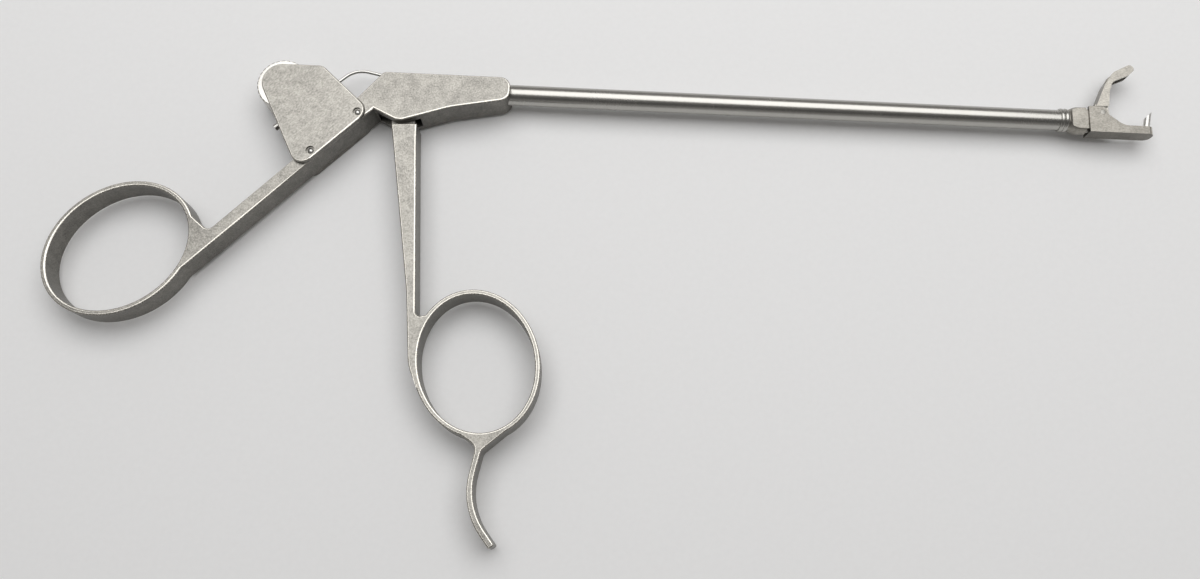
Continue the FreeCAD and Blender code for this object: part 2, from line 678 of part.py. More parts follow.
def trigger():
    """Front handle: forked tongue on the pivot, tapered arm, finger ring and hook."""
    body = new_body("trigger")
    shoulder = trigger_pivot[1] - S.trigger_shoulder
    rear = trigger_pivot[0] - S.trigger_arm_rear
    front = trigger_pivot[0] + S.trigger_arm_front
    arm = new_sketch(body, "trigger_arm")
    draw_outline(arm, [
        (front, shoulder + 0.35),
        (rear, shoulder),
        (rear + 0.8, shoulder - 4.2, 8.0),
        ring_spot("finger", 34.7, 6.95) + (20.0,),
        ring_spot("finger", 79.5, 0.9) + (12.0,),
        ring_spot("finger", 102.6, 0.45),
        ring_spot("finger", 54.5, -3.0),
        ring_spot("finger", 22.0, -2.75),
        ring_spot("finger", 44.7, 1.78) + (1.2,),
        (front + 0.2, shoulder - 3.0),
    ])
    pad(body, arm, S.grip_thickness)
    ring = new_sketch(body, "finger_ring_outside")
    outer_length = S.finger_ring_length + 2 * S.ring_wall
    outer_width = S.finger_ring_width + 2 * S.ring_wall
    draw_oval(ring, finger_ring, outer_length, outer_width, S.finger_ring_angle)
    pad(body, ring, S.grip_thickness)
    hook = new_sketch(body, "hook")
    foot = ring_spot("finger", 180.0, 0.0)
    draw_outline(hook, [
        ring_spot("finger", 144.8, -0.45),
        ring_spot("finger", 166.2, 1.65) + (2.0,),
        (foot[0] - S.hook_bow, foot[1] - S.hook_length * 0.645, 16.0),
        (foot[0] + 1.105, foot[1] - S.hook_length, 0.4),
        (foot[0] + 2.305, foot[1] - S.hook_length + 0.9, 0.4),
        (foot[0] - S.hook_bow + S.hook_width, foot[1] - S.hook_length * 0.616, 14.6),
        ring_spot("finger", 170.3, 2.7) + (2.0,),
        ring_spot("finger", 196.6, -0.15),
    ])
    pad(body, hook, S.grip_thickness)
    hole = new_sketch(body, "finger_hole")
    draw_oval(hole, finger_ring, S.finger_ring_length, S.finger_ring_width, S.finger_ring_angle)
    pocket(body, hole, 2 * S.grip_thickness)
    bevel(body, lambda edge: is_rim(edge, S.grip_thickness / 2), S.edge_chamfer)
    tongue = new_sketch(body, "tongue")
    boss = S.trigger_pin_diameter / 2 + 0.75
    draw_outline(tongue, [
        (trigger_pivot[0] - boss, trigger_pivot[1] + boss, boss - 0.01),
        (trigger_pivot[0] - boss, trigger_pivot[1] - 3.0),
        (rear + 0.1, shoulder - 2.0),
        (front - 0.1, shoulder - 2.0),
        (link[0] + 2.3, link[1]),
        (trigger_pivot[0] + boss, trigger_pivot[1] - 1.0),
        (trigger_pivot[0] + boss, trigger_pivot[1] + boss, boss - 0.01),
    ])
    pad(body, tongue, S.tongue_thickness)
    fork = new_sketch(body, "fork")
    fork_floor = link[1] - S.link_pin_diameter / 2 - 1.55
    draw_box(fork, (trigger_pivot[0] - 6, fork_floor), (trigger_pivot[0] + 8, trigger_pivot[1] + 5))
    pocket(body, fork, S.fork_width)
    for name, centre, diameter in (
        ("trigger_pivot_bore", trigger_pivot, S.trigger_pin_diameter + 2 * S.running_gap),
        ("link_bore", link, S.link_pin_diameter),
    ):
        drilled = new_sketch(body, name)
        draw_circle(drilled, centre, diameter)
        pocket(body, drilled, 2 * S.body_thickness)
    return body


def rod_yoke():
    """Flat rear end of the rod, with an upright slot for the link pin and a hub that holds the rod."""
    body = new_body("rod_yoke")
    hub_rear = -S.belly_x + 5.0
    hub_front = hub_rear + 3.0
    hub = turned(body, "yoke_hub", [
        (hub_rear, as_size(0)),
        (hub_front, as_size(0)),
        (hub_front, S.rod_diameter / 2 + 0.4),
        (hub_rear, S.rod_diameter / 2 + 0.4),
    ])
    hub.Label = "yoke_hub"
    eye = S.link_pin_diameter / 2 + 0.8
    blade = new_sketch(body, "yoke_blade")
    draw_outline(blade, [
        (hub_rear + 1.0, S.rod_diameter / 2),
        (hub_rear - 1.4, S.rod_diameter / 2),
        (hub_rear - 1.9, as_size(-2.0)),
        (link[0] - eye, link[1] + 2.2),
        (link[0] - eye, link[1] - eye, eye - 0.1),
        (link[0] + eye, link[1] - eye, eye - 0.1),
        (link[0] + eye, link[1] + 1.2),
        (hub_rear + 1.0, as_size(-1.0)),
    ])
    pad(body, blade, S.yoke_thickness)
    slot = new_sketch(body, "link_slot")
    half = S.link_pin_diameter / 2 + S.running_gap
    lowest = trigger_pivot[1] - S.link_radius - half - 0.05
    highest = link[1] + half + 0.05
    draw_outline(slot, [
        (link[0] - half, lowest, half - 0.02),
        (link[0] + half, lowest, half - 0.02),
        (link[0] + half, highest, half - 0.02),
        (link[0] - half, highest, half - 0.02),
    ])
    pocket(body, slot, 2 * S.yoke_thickness)
    bored(body, "rod_socket", [
        (hub_rear + 1.0, as_size(0)),
        (hub_front + 1, as_size(0)),
        (hub_front + 1, S.rod_diameter / 2),
        (hub_rear + 1.0, S.rod_diameter / 2),
    ])
    return body


def actuator_rod():
    """Round rod with a flat front end, whose upright slot takes the upper jaw's drive pin."""
    body = new_body("actuator_rod")
    blade_rear = S.shaft_reach + 3.6
    turned(body, "rod_length", [
        (-S.belly_x + 6.0, as_size(0)),
        (blade_rear + 0.4, as_size(0)),
        (blade_rear + 0.4, S.rod_diameter / 2),
        (-S.belly_x + 6.0, S.rod_diameter / 2),
    ])
    blade = new_sketch(body, "drive_blade")
    half = S.drive_pin_diameter / 2 + S.running_gap + 0.03
    lowest = jaw_pivot[1] - drive_radius
    draw_outline(blade, [
        (blade_rear, as_size(-0.7)),
        (blade_rear + 1.2, lowest - 0.95),
        (drive[0] + 0.95, lowest - 0.95, 0.5),
        (drive[0] + 0.95, drive[1] + 0.85, 0.5),
        (blade_rear, as_size(0.7)),
    ])
    pad(body, blade, S.drive_blade_thickness)
    slot = new_sketch(body, "drive_slot")
    draw_outline(slot, [
        (drive[0] - half, lowest - half - 0.05, half - 0.02),
        (drive[0] + half, lowest - half - 0.05, half - 0.02),
        (drive[0] + half, drive[1] + half + 0.05, half - 0.02),
        (drive[0] - half, drive[1] + half + 0.05, half - 0.02),
    ])
    pocket(body, slot, 2 * S.drive_blade_thickness)
    return body


def shaft_tube():
    body = new_body("shaft_tube")
    turned(body, "shaft_wall", [
        (-S.shaft_socket, S.shaft_bore / 2),
        (S.shaft_reach, S.shaft_bore / 2),
        (S.shaft_reach, S.shaft_diameter / 2),
        (-S.shaft_socket, S.shaft_diameter / 2),
    ])
    notch = new_sketch(body, "retaining_notch")
    draw_circle(notch, retaining_pin, S.retaining_pin_diameter)
    pocket(body, notch, 2 * S.shaft_diameter)
    return body


def shaft_collar():
    """Double-beaded ring over the joint of shaft and head."""
    body = new_body("shaft_collar")
    seat = S.shaft_diameter / 2
    rear = S.shaft_reach - 0.85
    front = S.shaft_reach + 1.05
    bead = seat + 0.35
    waist = seat + 0.15
    turned(body, "collar_wall", [
        (rear, seat),
        (front, seat),
        (front, waist),
        (front - 0.4, bead),
        (front - 0.8, waist),
        (rear + 0.8, waist),
        (rear + 0.4, bead),
        (rear, waist),
    ])
    return body


def tip_head():
    """Turned head with two flats, a bore for rod and thread tube, and a pocket for the lower jaw's tenon."""
    body = new_body("tip_head_turned")
    rear = S.shaft_reach
    front = rear + S.head_length
    turned(body, "head", [
        (rear, as_size(0)),
        (front, as_size(0)),
        (front, S.head_diameter / 2),
        (rear + 3.4, S.head_diameter / 2),
        (rear + 2.4, S.head_diameter / 2 - 0.22),
        (rear + 1.3, S.shaft_diameter / 2),
        (rear, S.shaft_diameter / 2),
    ])
    bored(body, "head_bore", [
        (rear - 1, as_size(0)),
        (front + 1, as_size(0)),
        (front + 1, S.shaft_bore / 2),
        (rear - 1, S.shaft_bore / 2),
    ])
    flats = new_sketch(body, "head_flats", "XZ_Plane")
    half = S.jaw_thickness / 2
    for side in (1, -1):
        corners = [
            (rear + 1.2, side * (half + 0.42)),
            (rear + 1.9, side * half),
            (front + 1, side * half),
            (front + 1, side * S.head_diameter),
            (rear + 1.2, side * S.head_diameter),
        ]
        draw_outline(flats, corners if side > 0 else corners[::-1])
    pocket(body, flats, 2 * S.head_diameter)
    tenon_pocket = new_sketch(body, "tenon_pocket", "XZ_Plane")
    draw_box(tenon_pocket, (front - S.tenon_length, -S.tenon_width / 2), (front + 1, S.tenon_width / 2))
    pocket(body, tenon_pocket, S.tenon_height)
    channel = feature("head_channel", pipe(guide_path, float(S.guide_diameter + 2 * S.guide_gap)))
    return without("tip_head", body, channel)


def lower_jaw():
    """Fixed jaw: ears, slot for the upper jaw, arm with the thread channel, and a tenon for the head."""
    body = new_body("lower_jaw_milled")
    rear = S.shaft_reach + S.head_length + S.seam_width
    side = new_sketch(body, "jaw_side")
    draw_outline(side, [
        (rear, -S.jaw_depth),
        (jaw_tip, -S.jaw_depth),
        (jaw_tip, -S.jaw_deck),
        (jaw_tip - 7.1, -S.jaw_deck, 4.0),
        (ear_end + 0.15, as_size(1.5), 1.5),
        (ear_end, S.ear_height, 0.7),
        (rear, S.ear_height),
    ])
    pad(body, side, S.jaw_thickness)
    tip = float(jaw_tip)
    round_off(body, lambda edge: edge.BoundBox.XMin > tip - 1e-3 and edge.BoundBox.ZLength < 1e-4, 1.6)
    tenon = new_sketch(body, "jaw_tenon")
    tenon_rear = rear - S.seam_width - S.tenon_length
    draw_box(tenon, (tenon_rear, -S.tenon_height / 2), (rear + 1, S.tenon_height / 2))
    pad(body, tenon, S.tenon_width)
    slot = new_sketch(body, "jaw_slot")
    draw_box(slot, (rear - 5, -S.jaw_slot_floor), (ear_end + 3.6, S.ear_height + 2))
    pocket(body, slot, S.jaw_slot_width)
    hole = new_sketch(body, "jaw_pivot_hole")
    draw_circle(hole, jaw_pivot, S.jaw_pin_diameter)
    pocket(body, hole, 2 * S.jaw_thickness)
    channel = feature("jaw_channel", pipe(guide_path, float(S.guide_diameter + 2 * S.guide_gap)))
    socket = feature("needle_socket", pipe(needle_path, float(S.needle_diameter)))
    return without("lower_jaw", body, channel, socket)


def upper_jaw():
    """Moving jaw: forked hinge with a lobe for the drive pin, and an arched arm with a needle window."""
    body = new_body("upper_jaw")
    arm = new_sketch(body, "jaw_arm")
    foot = S.ear_height + 0.35
    draw_outline(arm, [
        (jaw_pivot[0] + 1.75, foot, 0.3),
        (jaw_pivot[0] + 2.3, jaw_pivot[1] + 5.9, 2.0),
        (jaw_pivot[0] + 3.1, jaw_pivot[1] + 8.2, 1.6),
        (jaw_pivot[0] + 7.1, jaw_pivot[1] + 10.1, 2.0),
        (jaw_pivot[0] + 8.8, jaw_pivot[1] + 11.8, 0.9),
        (jaw_pivot[0] + 7.5, jaw_pivot[1] + 12.9, 0.8),
        (jaw_pivot[0] + 3.4, jaw_pivot[1] + 10.7, 3.0),
        (jaw_pivot[0] + 1.2, jaw_pivot[1] + 7.3, 4.0),
        (jaw_pivot[0] - 1.15, foot),
    ])
    pad(body, arm, S.upper_jaw_width)
    hinge = new_sketch(body, "jaw_hinge")
    boss = S.jaw_pin_diameter / 2 + 0.7
    lobe = S.drive_pin_diameter / 2 + 0.35
    draw_outline(hinge, [
        (jaw_pivot[0] - boss, foot + 0.5),
        (jaw_pivot[0] - boss, jaw_pivot[1] - 0.6, 0.9),
        (drive[0] - lobe, drive[1] - lobe, lobe - 0.1),
        (drive[0] + lobe, drive[1] - lobe, lobe - 0.1),
        (drive[0] + lobe, drive[1] + 0.5, 0.9),
        (jaw_pivot[0] + 1.6, foot + 0.5),
    ])
    pad(body, hinge, S.hinge_width)
    gap = new_sketch(body, "drive_gap")
    draw_circle(gap, drive, 2.7)
    pocket(body, gap, S.drive_slot_width)
    gap_rear = new_sketch(body, "drive_gap_rear")
    draw_box(gap_rear, (jaw_pivot[0] - 3, drive[1] - 3), (drive[0] + 0.2, jaw_pivot[1] - 0.9))
    pocket(body, gap_rear, S.drive_slot_width)
    window = new_sketch(body, "window")
    draw_circle(window, jaw_pivot, 2 * S.window_outer)
    draw_circle(window, jaw_pivot, 2 * S.window_inner)
    pocket(body, window, S.window_width)
    for name, centre, diameter in (
        ("jaw_pivot_bore", jaw_pivot, S.jaw_pin_diameter + 2 * S.running_gap),
        ("drive_bore", drive, S.drive_pin_diameter),
    ):
        drilled = new_sketch(body, name)
        draw_circle(drilled, centre, diameter)
        pocket(body, drilled, 2 * S.jaw_thickness)
    return body


def side_plate(label, side):
    """A plate of the feed housing on the side +1 or -1, with blind axle seats and recessed rivet holes."""
    body = new_body(label)
    sketch = new_sketch(body, label + "_outline")
    inner = S.grip_thickness / 2
    middle = side * (inner + S.plate_thickness / 2)
    sketch.setExpression("AttachmentOffset.Base.z", as_size(middle).text)
    draw_outline(sketch, plate_corners(as_size(0)))
    pad(body, sketch, S.plate_thickness)
    bevel(body, lambda edge: is_rim(edge, inner + S.plate_thickness), S.edge_chamfer)
    cuts = [("front_hole", rivets[0], S.rivet_diameter, middle, 2 * S.plate_thickness)]
    cuts.append(("rear_hole", rivets[1], S.rivet_diameter, middle, 2 * S.plate_thickness))
    recess_at = side * (inner + S.plate_thickness)
    for name, centre in (("front_recess", rivets[0]), ("rear_recess", rivets[1])):
        cuts.append((name, centre, S.rivet_recess_diameter, recess_at, 2 * S.rivet_recess_depth))
    for name, centre, diameter in (
        ("wheel_seat", wheel, S.wheel_axle_diameter),
        ("idler_seat", idler, S.idler_axle_diameter),
    ):
        cuts.append((name, centre, diameter, side * inner, 2 * S.axle_seat_depth))
    for name, centre, diameter, height, depth in cuts:
        drilled = new_sketch(body, f"{label}_{name}")
        drilled.setExpression("AttachmentOffset.Base.z", as_size(height).text)
        draw_circle(drilled, centre, diameter)
        pocket(body, drilled, depth)
    return body


def cover_rivets():
    """Two rivets through plates and web, one group. Their ends stand a little below the plates' faces."""
    length = plate_span - 2 * S.rivet_sink
    group = doc.addObject("Part::Compound", "cover_rivets")
    group.Label = "cover_rivets"
    group.Links = [pin("rivet", centre, S.rivet_diameter, length) for centre in rivets]
    doc.recompute()
    return group


def feed_wheel():
    """Thumb wheel with notches all round."""
    body = new_body("feed_wheel")
    disc = new_sketch(body, "wheel_disc")
    draw_circle(disc, wheel, 2 * S.wheel_radius)
    draw_circle(disc, wheel, S.wheel_axle_diameter + 2 * S.running_gap)
    pad(body, disc, S.wheel_width)
    bevel(body, lambda edge: edge.Length > 4 * float(S.wheel_radius), S.edge_chamfer)
    notch = new_sketch(body, "wheel_notch")
    reach = wheel[1] + S.wheel_radius
    draw_outline(notch, [
        (wheel[0], reach - S.notch_depth),
        (wheel[0] + S.notch_depth, reach + 0.1),
        (wheel[0] - S.notch_depth, reach + 0.1),
    ])
    first = pocket(body, notch, 2 * S.wheel_width)
    axis = body.newObject("PartDesign::Line", "wheel_axis")
    axis.setExpression("Placement.Base.x", wheel[0].text)
    axis.setExpression("Placement.Base.y", wheel[1].text)
    doc.recompute()
    pattern = body.newObject("PartDesign::PolarPattern", "wheel_notches")
    pattern.Originals = [first]
    pattern.Refine = False
    pattern.Axis = (axis, [""])
    pattern.Angle = 360.0
    pattern.Occurrences = int(S.wheel_notches.value)
    body.Tip = pattern
    doc.recompute()
    return body


def idler_roller():
    body = new_body("idler_roller")
    disc = new_sketch(body, "idler_disc")
    draw_circle(disc, idler, 2 * S.idler_radius)
    draw_circle(disc, idler, S.idler_axle_diameter + 2 * S.running_gap)
    pad(body, disc, S.wheel_width)
    return body


def end_bore(path, number, depth, diameter):
    """The bore of a tube's end: a straight drill of a depth from the path's first or last point."""
    edge = path.Edges[number]
    where = edge.FirstParameter if number == 0 else edge.LastParameter
    way = edge.tangentAt(where) * (1 if number == 0 else -1)
    return Part.makeCylinder(diameter / 2, depth + 1, edge.valueAt(where) - way, way)


def hollow(label, path, diameter, bore, depth):
    """A thin tube along a path, drilled from both ends to a depth."""
    tube = pipe(path, float(diameter))
    for number in (0, -1):
        tube = tube.cut(end_bore(path, number, float(depth), float(bore)))
    return feature(label, tube)


def jaw_needle():
    """Bent hollow needle: tail in the lower jaw, point above it, ground to a bevel."""
    depth = float(needle_rise) - float(S.needle_diameter)
    bore = end_bore(needle_path, -1, depth, float(S.needle_bore))
    tube = pipe(needle_path, float(S.needle_diameter)).cut(bore)
    tip = flat(needle_tip)
    block = Part.makeBox(10, 10, 10, Vector(-5, 0, -5))
    lean = Rotation(Vector(0, 0, 1), 90 - float(S.needle_bevel) - float(S.needle_lean))
    offset_down = float(S.needle_diameter) * 0.9
    block.Placement = Placement(tip - Vector(0, offset_down, 0), lean)
    return feature("jaw_needle", tube.cut(block))


axle_length = S.grip_thickness + 2 * S.axle_seat_depth
parts += [
    rear_handle(),
    shaft_tube(),
    shaft_collar(),
    tip_head(),
    lower_jaw(),
    jaw_needle(),
    hollow("guide_tube", guide_path, S.guide_diameter, S.guide_bore, S.guide_bore_depth),
    hollow("thread_inlet", ferrule_path, S.ferrule_diameter, S.ferrule_bore, S.ferrule_length),
    side_plate("cover_plate", 1),
    side_plate("back_plate", -1),
    cover_rivets(),
    pin("wheel_axle", wheel, S.wheel_axle_diameter, axle_length),
    pin("idler_axle", idler, S.idler_axle_diameter, axle_length),
    pin("trigger_pivot_pin", trigger_pivot, S.trigger_pin_diameter, S.body_thickness),
    pin("shaft_retaining_pin", retaining_pin, S.retaining_pin_diameter, S.body_thickness),
    pin("jaw_pivot_pin", jaw_pivot, S.jaw_pin_diameter, S.jaw_thickness),
    trigger(),
    pin("link_pin", link, S.link_pin_diameter, S.tongue_thickness),
    rod_yoke(),
    actuator_rod(),
    upper_jaw(),
    pin("drive_pin", drive, S.drive_pin_diameter, S.hinge_width),
    feed_wheel(),
    idler_roller(),
]

doc.recompute()
for item in doc.Objects:
    if "Invalid" in item.State or "Error" in item.State:
        raise RuntimeError(f"{item.Label} did not compute")
for part in parts:
    shape = part.Shape
    if shape.isNull() or not shape.isValid():
        raise RuntimeError(f"{part.Label} has no valid shape")
for part in parts:
    shape = part.Shape
    shape.exportStep(f"parts/{part.Label}.step")
    print(f"{part.Label}: {len(shape.Solids)} solid(s), {shape.Volume:.2f} cubic mm")
print(f"rod travel {float(rod_travel):.3f} mm, drive pin at {float(drive_radius):.3f} mm from the jaw pivot")
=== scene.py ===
# %% [markdown]
# # A suture punch in steel
# The object is a surgeon's hand tool that lies on its flat side: two ringed handles, a wheel that feeds
# a thread, a long shaft and a pair of small jaws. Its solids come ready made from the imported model, in
# metres, with the shaft along X and the flat side up. This lesson gives them their surfaces: it smooths
# the forged pieces, turns the round ones anew as smooth surfaces, mixes the finishes, and lights the table.

# %% Load the frame
import json
import math
import bmesh
import bpy
import numpy as np
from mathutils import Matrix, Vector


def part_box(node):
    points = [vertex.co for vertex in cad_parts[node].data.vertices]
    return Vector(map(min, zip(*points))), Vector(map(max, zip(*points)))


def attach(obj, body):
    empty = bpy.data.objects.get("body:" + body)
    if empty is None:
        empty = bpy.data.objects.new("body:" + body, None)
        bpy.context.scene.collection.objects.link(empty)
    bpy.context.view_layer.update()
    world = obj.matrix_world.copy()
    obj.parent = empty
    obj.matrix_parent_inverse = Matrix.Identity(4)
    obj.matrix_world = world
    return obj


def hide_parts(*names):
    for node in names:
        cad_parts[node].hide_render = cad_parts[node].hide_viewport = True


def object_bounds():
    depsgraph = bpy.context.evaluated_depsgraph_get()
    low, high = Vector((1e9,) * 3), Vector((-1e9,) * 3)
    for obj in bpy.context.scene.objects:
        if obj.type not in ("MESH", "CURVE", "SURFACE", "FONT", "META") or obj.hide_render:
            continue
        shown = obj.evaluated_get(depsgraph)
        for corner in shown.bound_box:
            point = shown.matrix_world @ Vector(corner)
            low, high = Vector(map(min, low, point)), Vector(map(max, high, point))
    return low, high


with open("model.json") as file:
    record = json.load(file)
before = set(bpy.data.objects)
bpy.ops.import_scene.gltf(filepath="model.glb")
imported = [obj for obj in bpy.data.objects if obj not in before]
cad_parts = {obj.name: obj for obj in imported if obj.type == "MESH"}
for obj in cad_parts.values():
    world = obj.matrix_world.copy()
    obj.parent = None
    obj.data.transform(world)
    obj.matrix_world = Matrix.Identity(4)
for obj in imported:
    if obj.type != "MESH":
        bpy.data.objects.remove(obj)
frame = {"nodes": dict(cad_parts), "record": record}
cad_box = [list(map(float, corner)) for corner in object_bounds()]
print("solids loaded:", len(frame["nodes"]), "box", cad_box)

# %% [markdown]
# ## Camera
# The picture was taken from nearly overhead, from a little over 20 cm, so the near handle looks larger
# than the far jaws. A camera's place is found by matching known points of the object with their places
# in the picture. That was done once, and the numbers below are its result.

# %% Camera
MM = 0.001
camera_data = bpy.data.cameras.new("overhead_camera")
camera_data.sensor_width = 36.0
camera_data.lens = 31.5
camera_data.clip_start = 0.01
camera = bpy.data.objects.new("overhead_camera", camera_data)
camera.location = (0.02654, -0.10944, 0.22839)
camera.rotation_euler = (math.radians(15.3636), 0.0, math.radians(2.867))
bpy.context.scene.collection.objects.link(camera)
bpy.context.scene.camera = camera
bpy.context.scene.view_settings.view_transform = "Standard"
print("camera", round(camera.location.z / MM), "mm above the middle of the shaft")

# %% [markdown]
# ## Sums on sockets
# A shader is a sum worked out at every point of a surface. Written as nodes, even 1 - mask is four lines,
# so a small class wraps a socket and takes over + - * / on both sides. Each use adds one Math node.


# %% Sockets that can be added
class Wire:
    """A socket of a material's tree. An expression with it gives the Wire that comes out of a Math node."""

    def __init__(self, tree, socket):
        self.tree = tree
        self.socket = socket

    def combine(self, operation, first, second):
        node = self.tree.nodes.new("ShaderNodeMath")
        node.operation = operation
        for socket, value in zip(node.inputs, (first, second)):
            plug(self.tree, socket, value)
        return Wire(self.tree, node.outputs[0])

    def __add__(self, other):
        return self.combine("ADD", self, other)

    def __radd__(self, other):
        return self.combine("ADD", other, self)

    def __sub__(self, other):
        return self.combine("SUBTRACT", self, other)

    def __rsub__(self, other):
        return self.combine("SUBTRACT", other, self)

    def __mul__(self, other):
        return self.combine("MULTIPLY", self, other)

    def __rmul__(self, other):
        return self.combine("MULTIPLY", other, self)

    def __truediv__(self, other):
        return self.combine("DIVIDE", self, other)

    def __rtruediv__(self, other):
        return self.combine("DIVIDE", other, self)

    def __pow__(self, other):
        return self.combine("POWER", self, other)

    def at_least(self, other):
        return self.combine("MAXIMUM", self, other)

    def at_most(self, other):
        return self.combine("MINIMUM", self, other)


def plug(tree, socket, value):
    """Links a Wire to a socket, or sets a plain value on it."""
    if isinstance(value, Wire):
        tree.links.new(value.socket, socket)
    else:
        socket.default_value = value


print("sockets take sums")

# %% [markdown]
# ## A material and its nodes
# A new material holds one Principled shader, whose sockets take plain values or Wires. Every other node is
# added by one method. Some nodes have several sockets of one name, such as the three kinds of A on a Mix
# node, so a socket is looked up by its identifier first, and by its name or number otherwise.


# %% A finish
class Finish:
    """A material, and one method that adds any other node to it."""

    def __init__(self, name, **constants):
        self.material = bpy.data.materials.new(name)
        self.material.use_nodes = True
        self.tree = self.material.node_tree
        self.shader = self.tree.nodes["Principled BSDF"]
        for socket, value in constants.items():
            self.give(socket, value)

    def give(self, socket, value):
        """Sets or links a socket of the shader."""
        plug(self.tree, self.shader.inputs[socket], value)

    def node(self, kind, inputs=None, out=0, **settings):
        """Adds a node: its settings first, then the values or Wires of its sockets, named or numbered."""
        node = self.tree.nodes.new(kind)
        for key, value in settings.items():
            setattr(node, key, value)
        by_identifier = {socket.identifier: socket for socket in node.inputs}
        for key, value in (inputs or {}).items():
            plug(self.tree, by_identifier.get(key) or node.inputs[key], value)
        by_identifier = {socket.identifier: socket for socket in node.outputs}
        return Wire(self.tree, by_identifier.get(out) or node.outputs[out])

    def blend_colours(self, factor, low, high):
        """The colour low where the factor is 0, and high where it is 1."""
        return self.node(
            "ShaderNodeMix", {"Factor_Float": factor, "A_Color": low, "B_Color": high},
            out="Result_Color", data_type="RGBA",
        )


def rgba(colour, factor):
    """A colour as a socket takes it, with its channels times the factor."""
    return tuple(channel * factor for channel in colour) + (1.0,)


print("half of white:", rgba((1.0, 1.0, 1.0), 0.5))

# %% [markdown]
# ## Steel, several ways
# All of it is one stainless steel, slightly warm in tone. What differs is how each piece was finished.
# The forged handles were blasted with fine beads: a dull, even surface of tiny dents. Plates were ground
# in one direction. The shaft was turned and polished and keeps faint rings. A finish is the same few
# layers each time: a fine grain that dents the surface and breaks up the gloss, and broad clouds and
# smudges where hands and cleaning have left the metal a touch darker or shinier. All read Object
# coordinates, so the pattern stays with the metal. Noise is used because none of them has any order of
# its own, and each counts by how far it is from 0.5, its middle. Forged pieces also carry two marks on
# their faces, made further down. The bevel mark is 1 on a bevel: there a painted highlight lightens the
# colour, and the roughness is lowered, as wear polishes an edge. The side mark is 1 on an upright side,
# which is painted darker as shade. Other pieces have no marks, and there both read 0.

# %% A steel finish
CLOUDS_PER_METRE, SMUDGES_PER_METRE = 70.0, 420.0
CLOUD_WEIGHT, SMUDGE_WEIGHT, GRAIN_WEIGHT = 0.75, 1.1, 2.0
# Share and tone of the painted highlight on bevels, and how much smoother wear leaves them.
RIM_HIGHLIGHT_SHARE, RIM_HIGHLIGHT_TONE, RIM_POLISH = 0.8, 2.2, 0.14
# Share and tone of the painted shade on upright sides.
SIDE_SHADE_SHARE, SIDE_SHADE_TONE = 0.45, 0.2
STAIN_ROUGHNESS, ROUGHNESS_RANGE = 0.06, (0.08, 0.8)
DENT_PER_GRAIN = 0.12
finishes = {}


def steel(
    name, colour, roughness, grain_size, dent,
    stretch=(1.0, 1.0, 1.0), turn=0.0, mottle=0.12, grit=0.12,
):
    """Steel with grains of a size in mm, stretched along their own axes, which the turn in degrees swings
    round Z. The dent is how deep they are, mottle how much they change the colour, and grit the gloss."""
    finish = Finish(name, Metallic=1.0)
    place = finish.node("ShaderNodeTexCoord", out="Object")
    size = tuple(grain_size * MM * factor for factor in stretch)
    lined = finish.node(
        "ShaderNodeMapping", {"Vector": place, "Rotation": (0.0, 0.0, math.radians(turn)), "Scale": size},
        vector_type="TEXTURE",
    )
    grain = finish.node(
        "ShaderNodeTexNoise", {"Vector": lined, "Scale": 1.0, "Detail": 3.0, "Roughness": 0.6}
    )
    cloud = finish.node(
        "ShaderNodeTexNoise", {"Vector": place, "Scale": CLOUDS_PER_METRE, "Detail": 4.0, "Roughness": 0.55}
    )
    smudge = finish.node(
        "ShaderNodeTexNoise", {"Vector": place, "Scale": SMUDGES_PER_METRE, "Detail": 3.0, "Roughness": 0.6}
    )
    rim_highlight_and_wear = finish.node("ShaderNodeAttribute", out="Fac", attribute_name="rim_highlight_and_wear")
    painted_side_shade = finish.node("ShaderNodeAttribute", out="Fac", attribute_name="painted_side_shade")

    stain = (cloud - 0.5) * CLOUD_WEIGHT
    tone = 0.5 + stain + (smudge - 0.5) * SMUDGE_WEIGHT + (grain - 0.5) * GRAIN_WEIGHT
    metal = finish.blend_colours(tone, rgba(colour, 1.0 - mottle), rgba(colour, 1.0 + mottle * 0.8))
    # Painted shade: upright sides are blended towards a dark tone of the steel.
    metal = finish.blend_colours(painted_side_shade * SIDE_SHADE_SHARE, metal, rgba(colour, SIDE_SHADE_TONE))
    # Painted highlight: bevels are blended towards a light tone of the steel.
    finish.give("Base Color", finish.blend_colours(rim_highlight_and_wear * RIM_HIGHLIGHT_SHARE, metal, rgba(colour, RIM_HIGHLIGHT_TONE)))

    # Bevels are also smoother, as wear leaves an edge.
    rough = roughness + (cloud + smudge - 1.0) * STAIN_ROUGHNESS + (grain - 0.5) * grit - rim_highlight_and_wear * RIM_POLISH
    finish.give("Roughness", rough.at_least(ROUGHNESS_RANGE[0]).at_most(ROUGHNESS_RANGE[1]))
    depth = grain_size * MM * DENT_PER_GRAIN
    finish.give(
        "Normal", finish.node("ShaderNodeBump", {"Height": grain, "Strength": dent, "Distance": depth})
    )
    finishes[name] = finish.material
    print("finish:", name)


# %% [markdown]
# ## The finishes of this tool
# After the colour come the roughness and the size of a grain in mm. Beads leave round grains, a milling
# cutter leaves them twice as long along X, and on a turned piece they are drawn out so far round the axis
# that they become rings. The tones and depths were set beside the picture, one finish at a time.

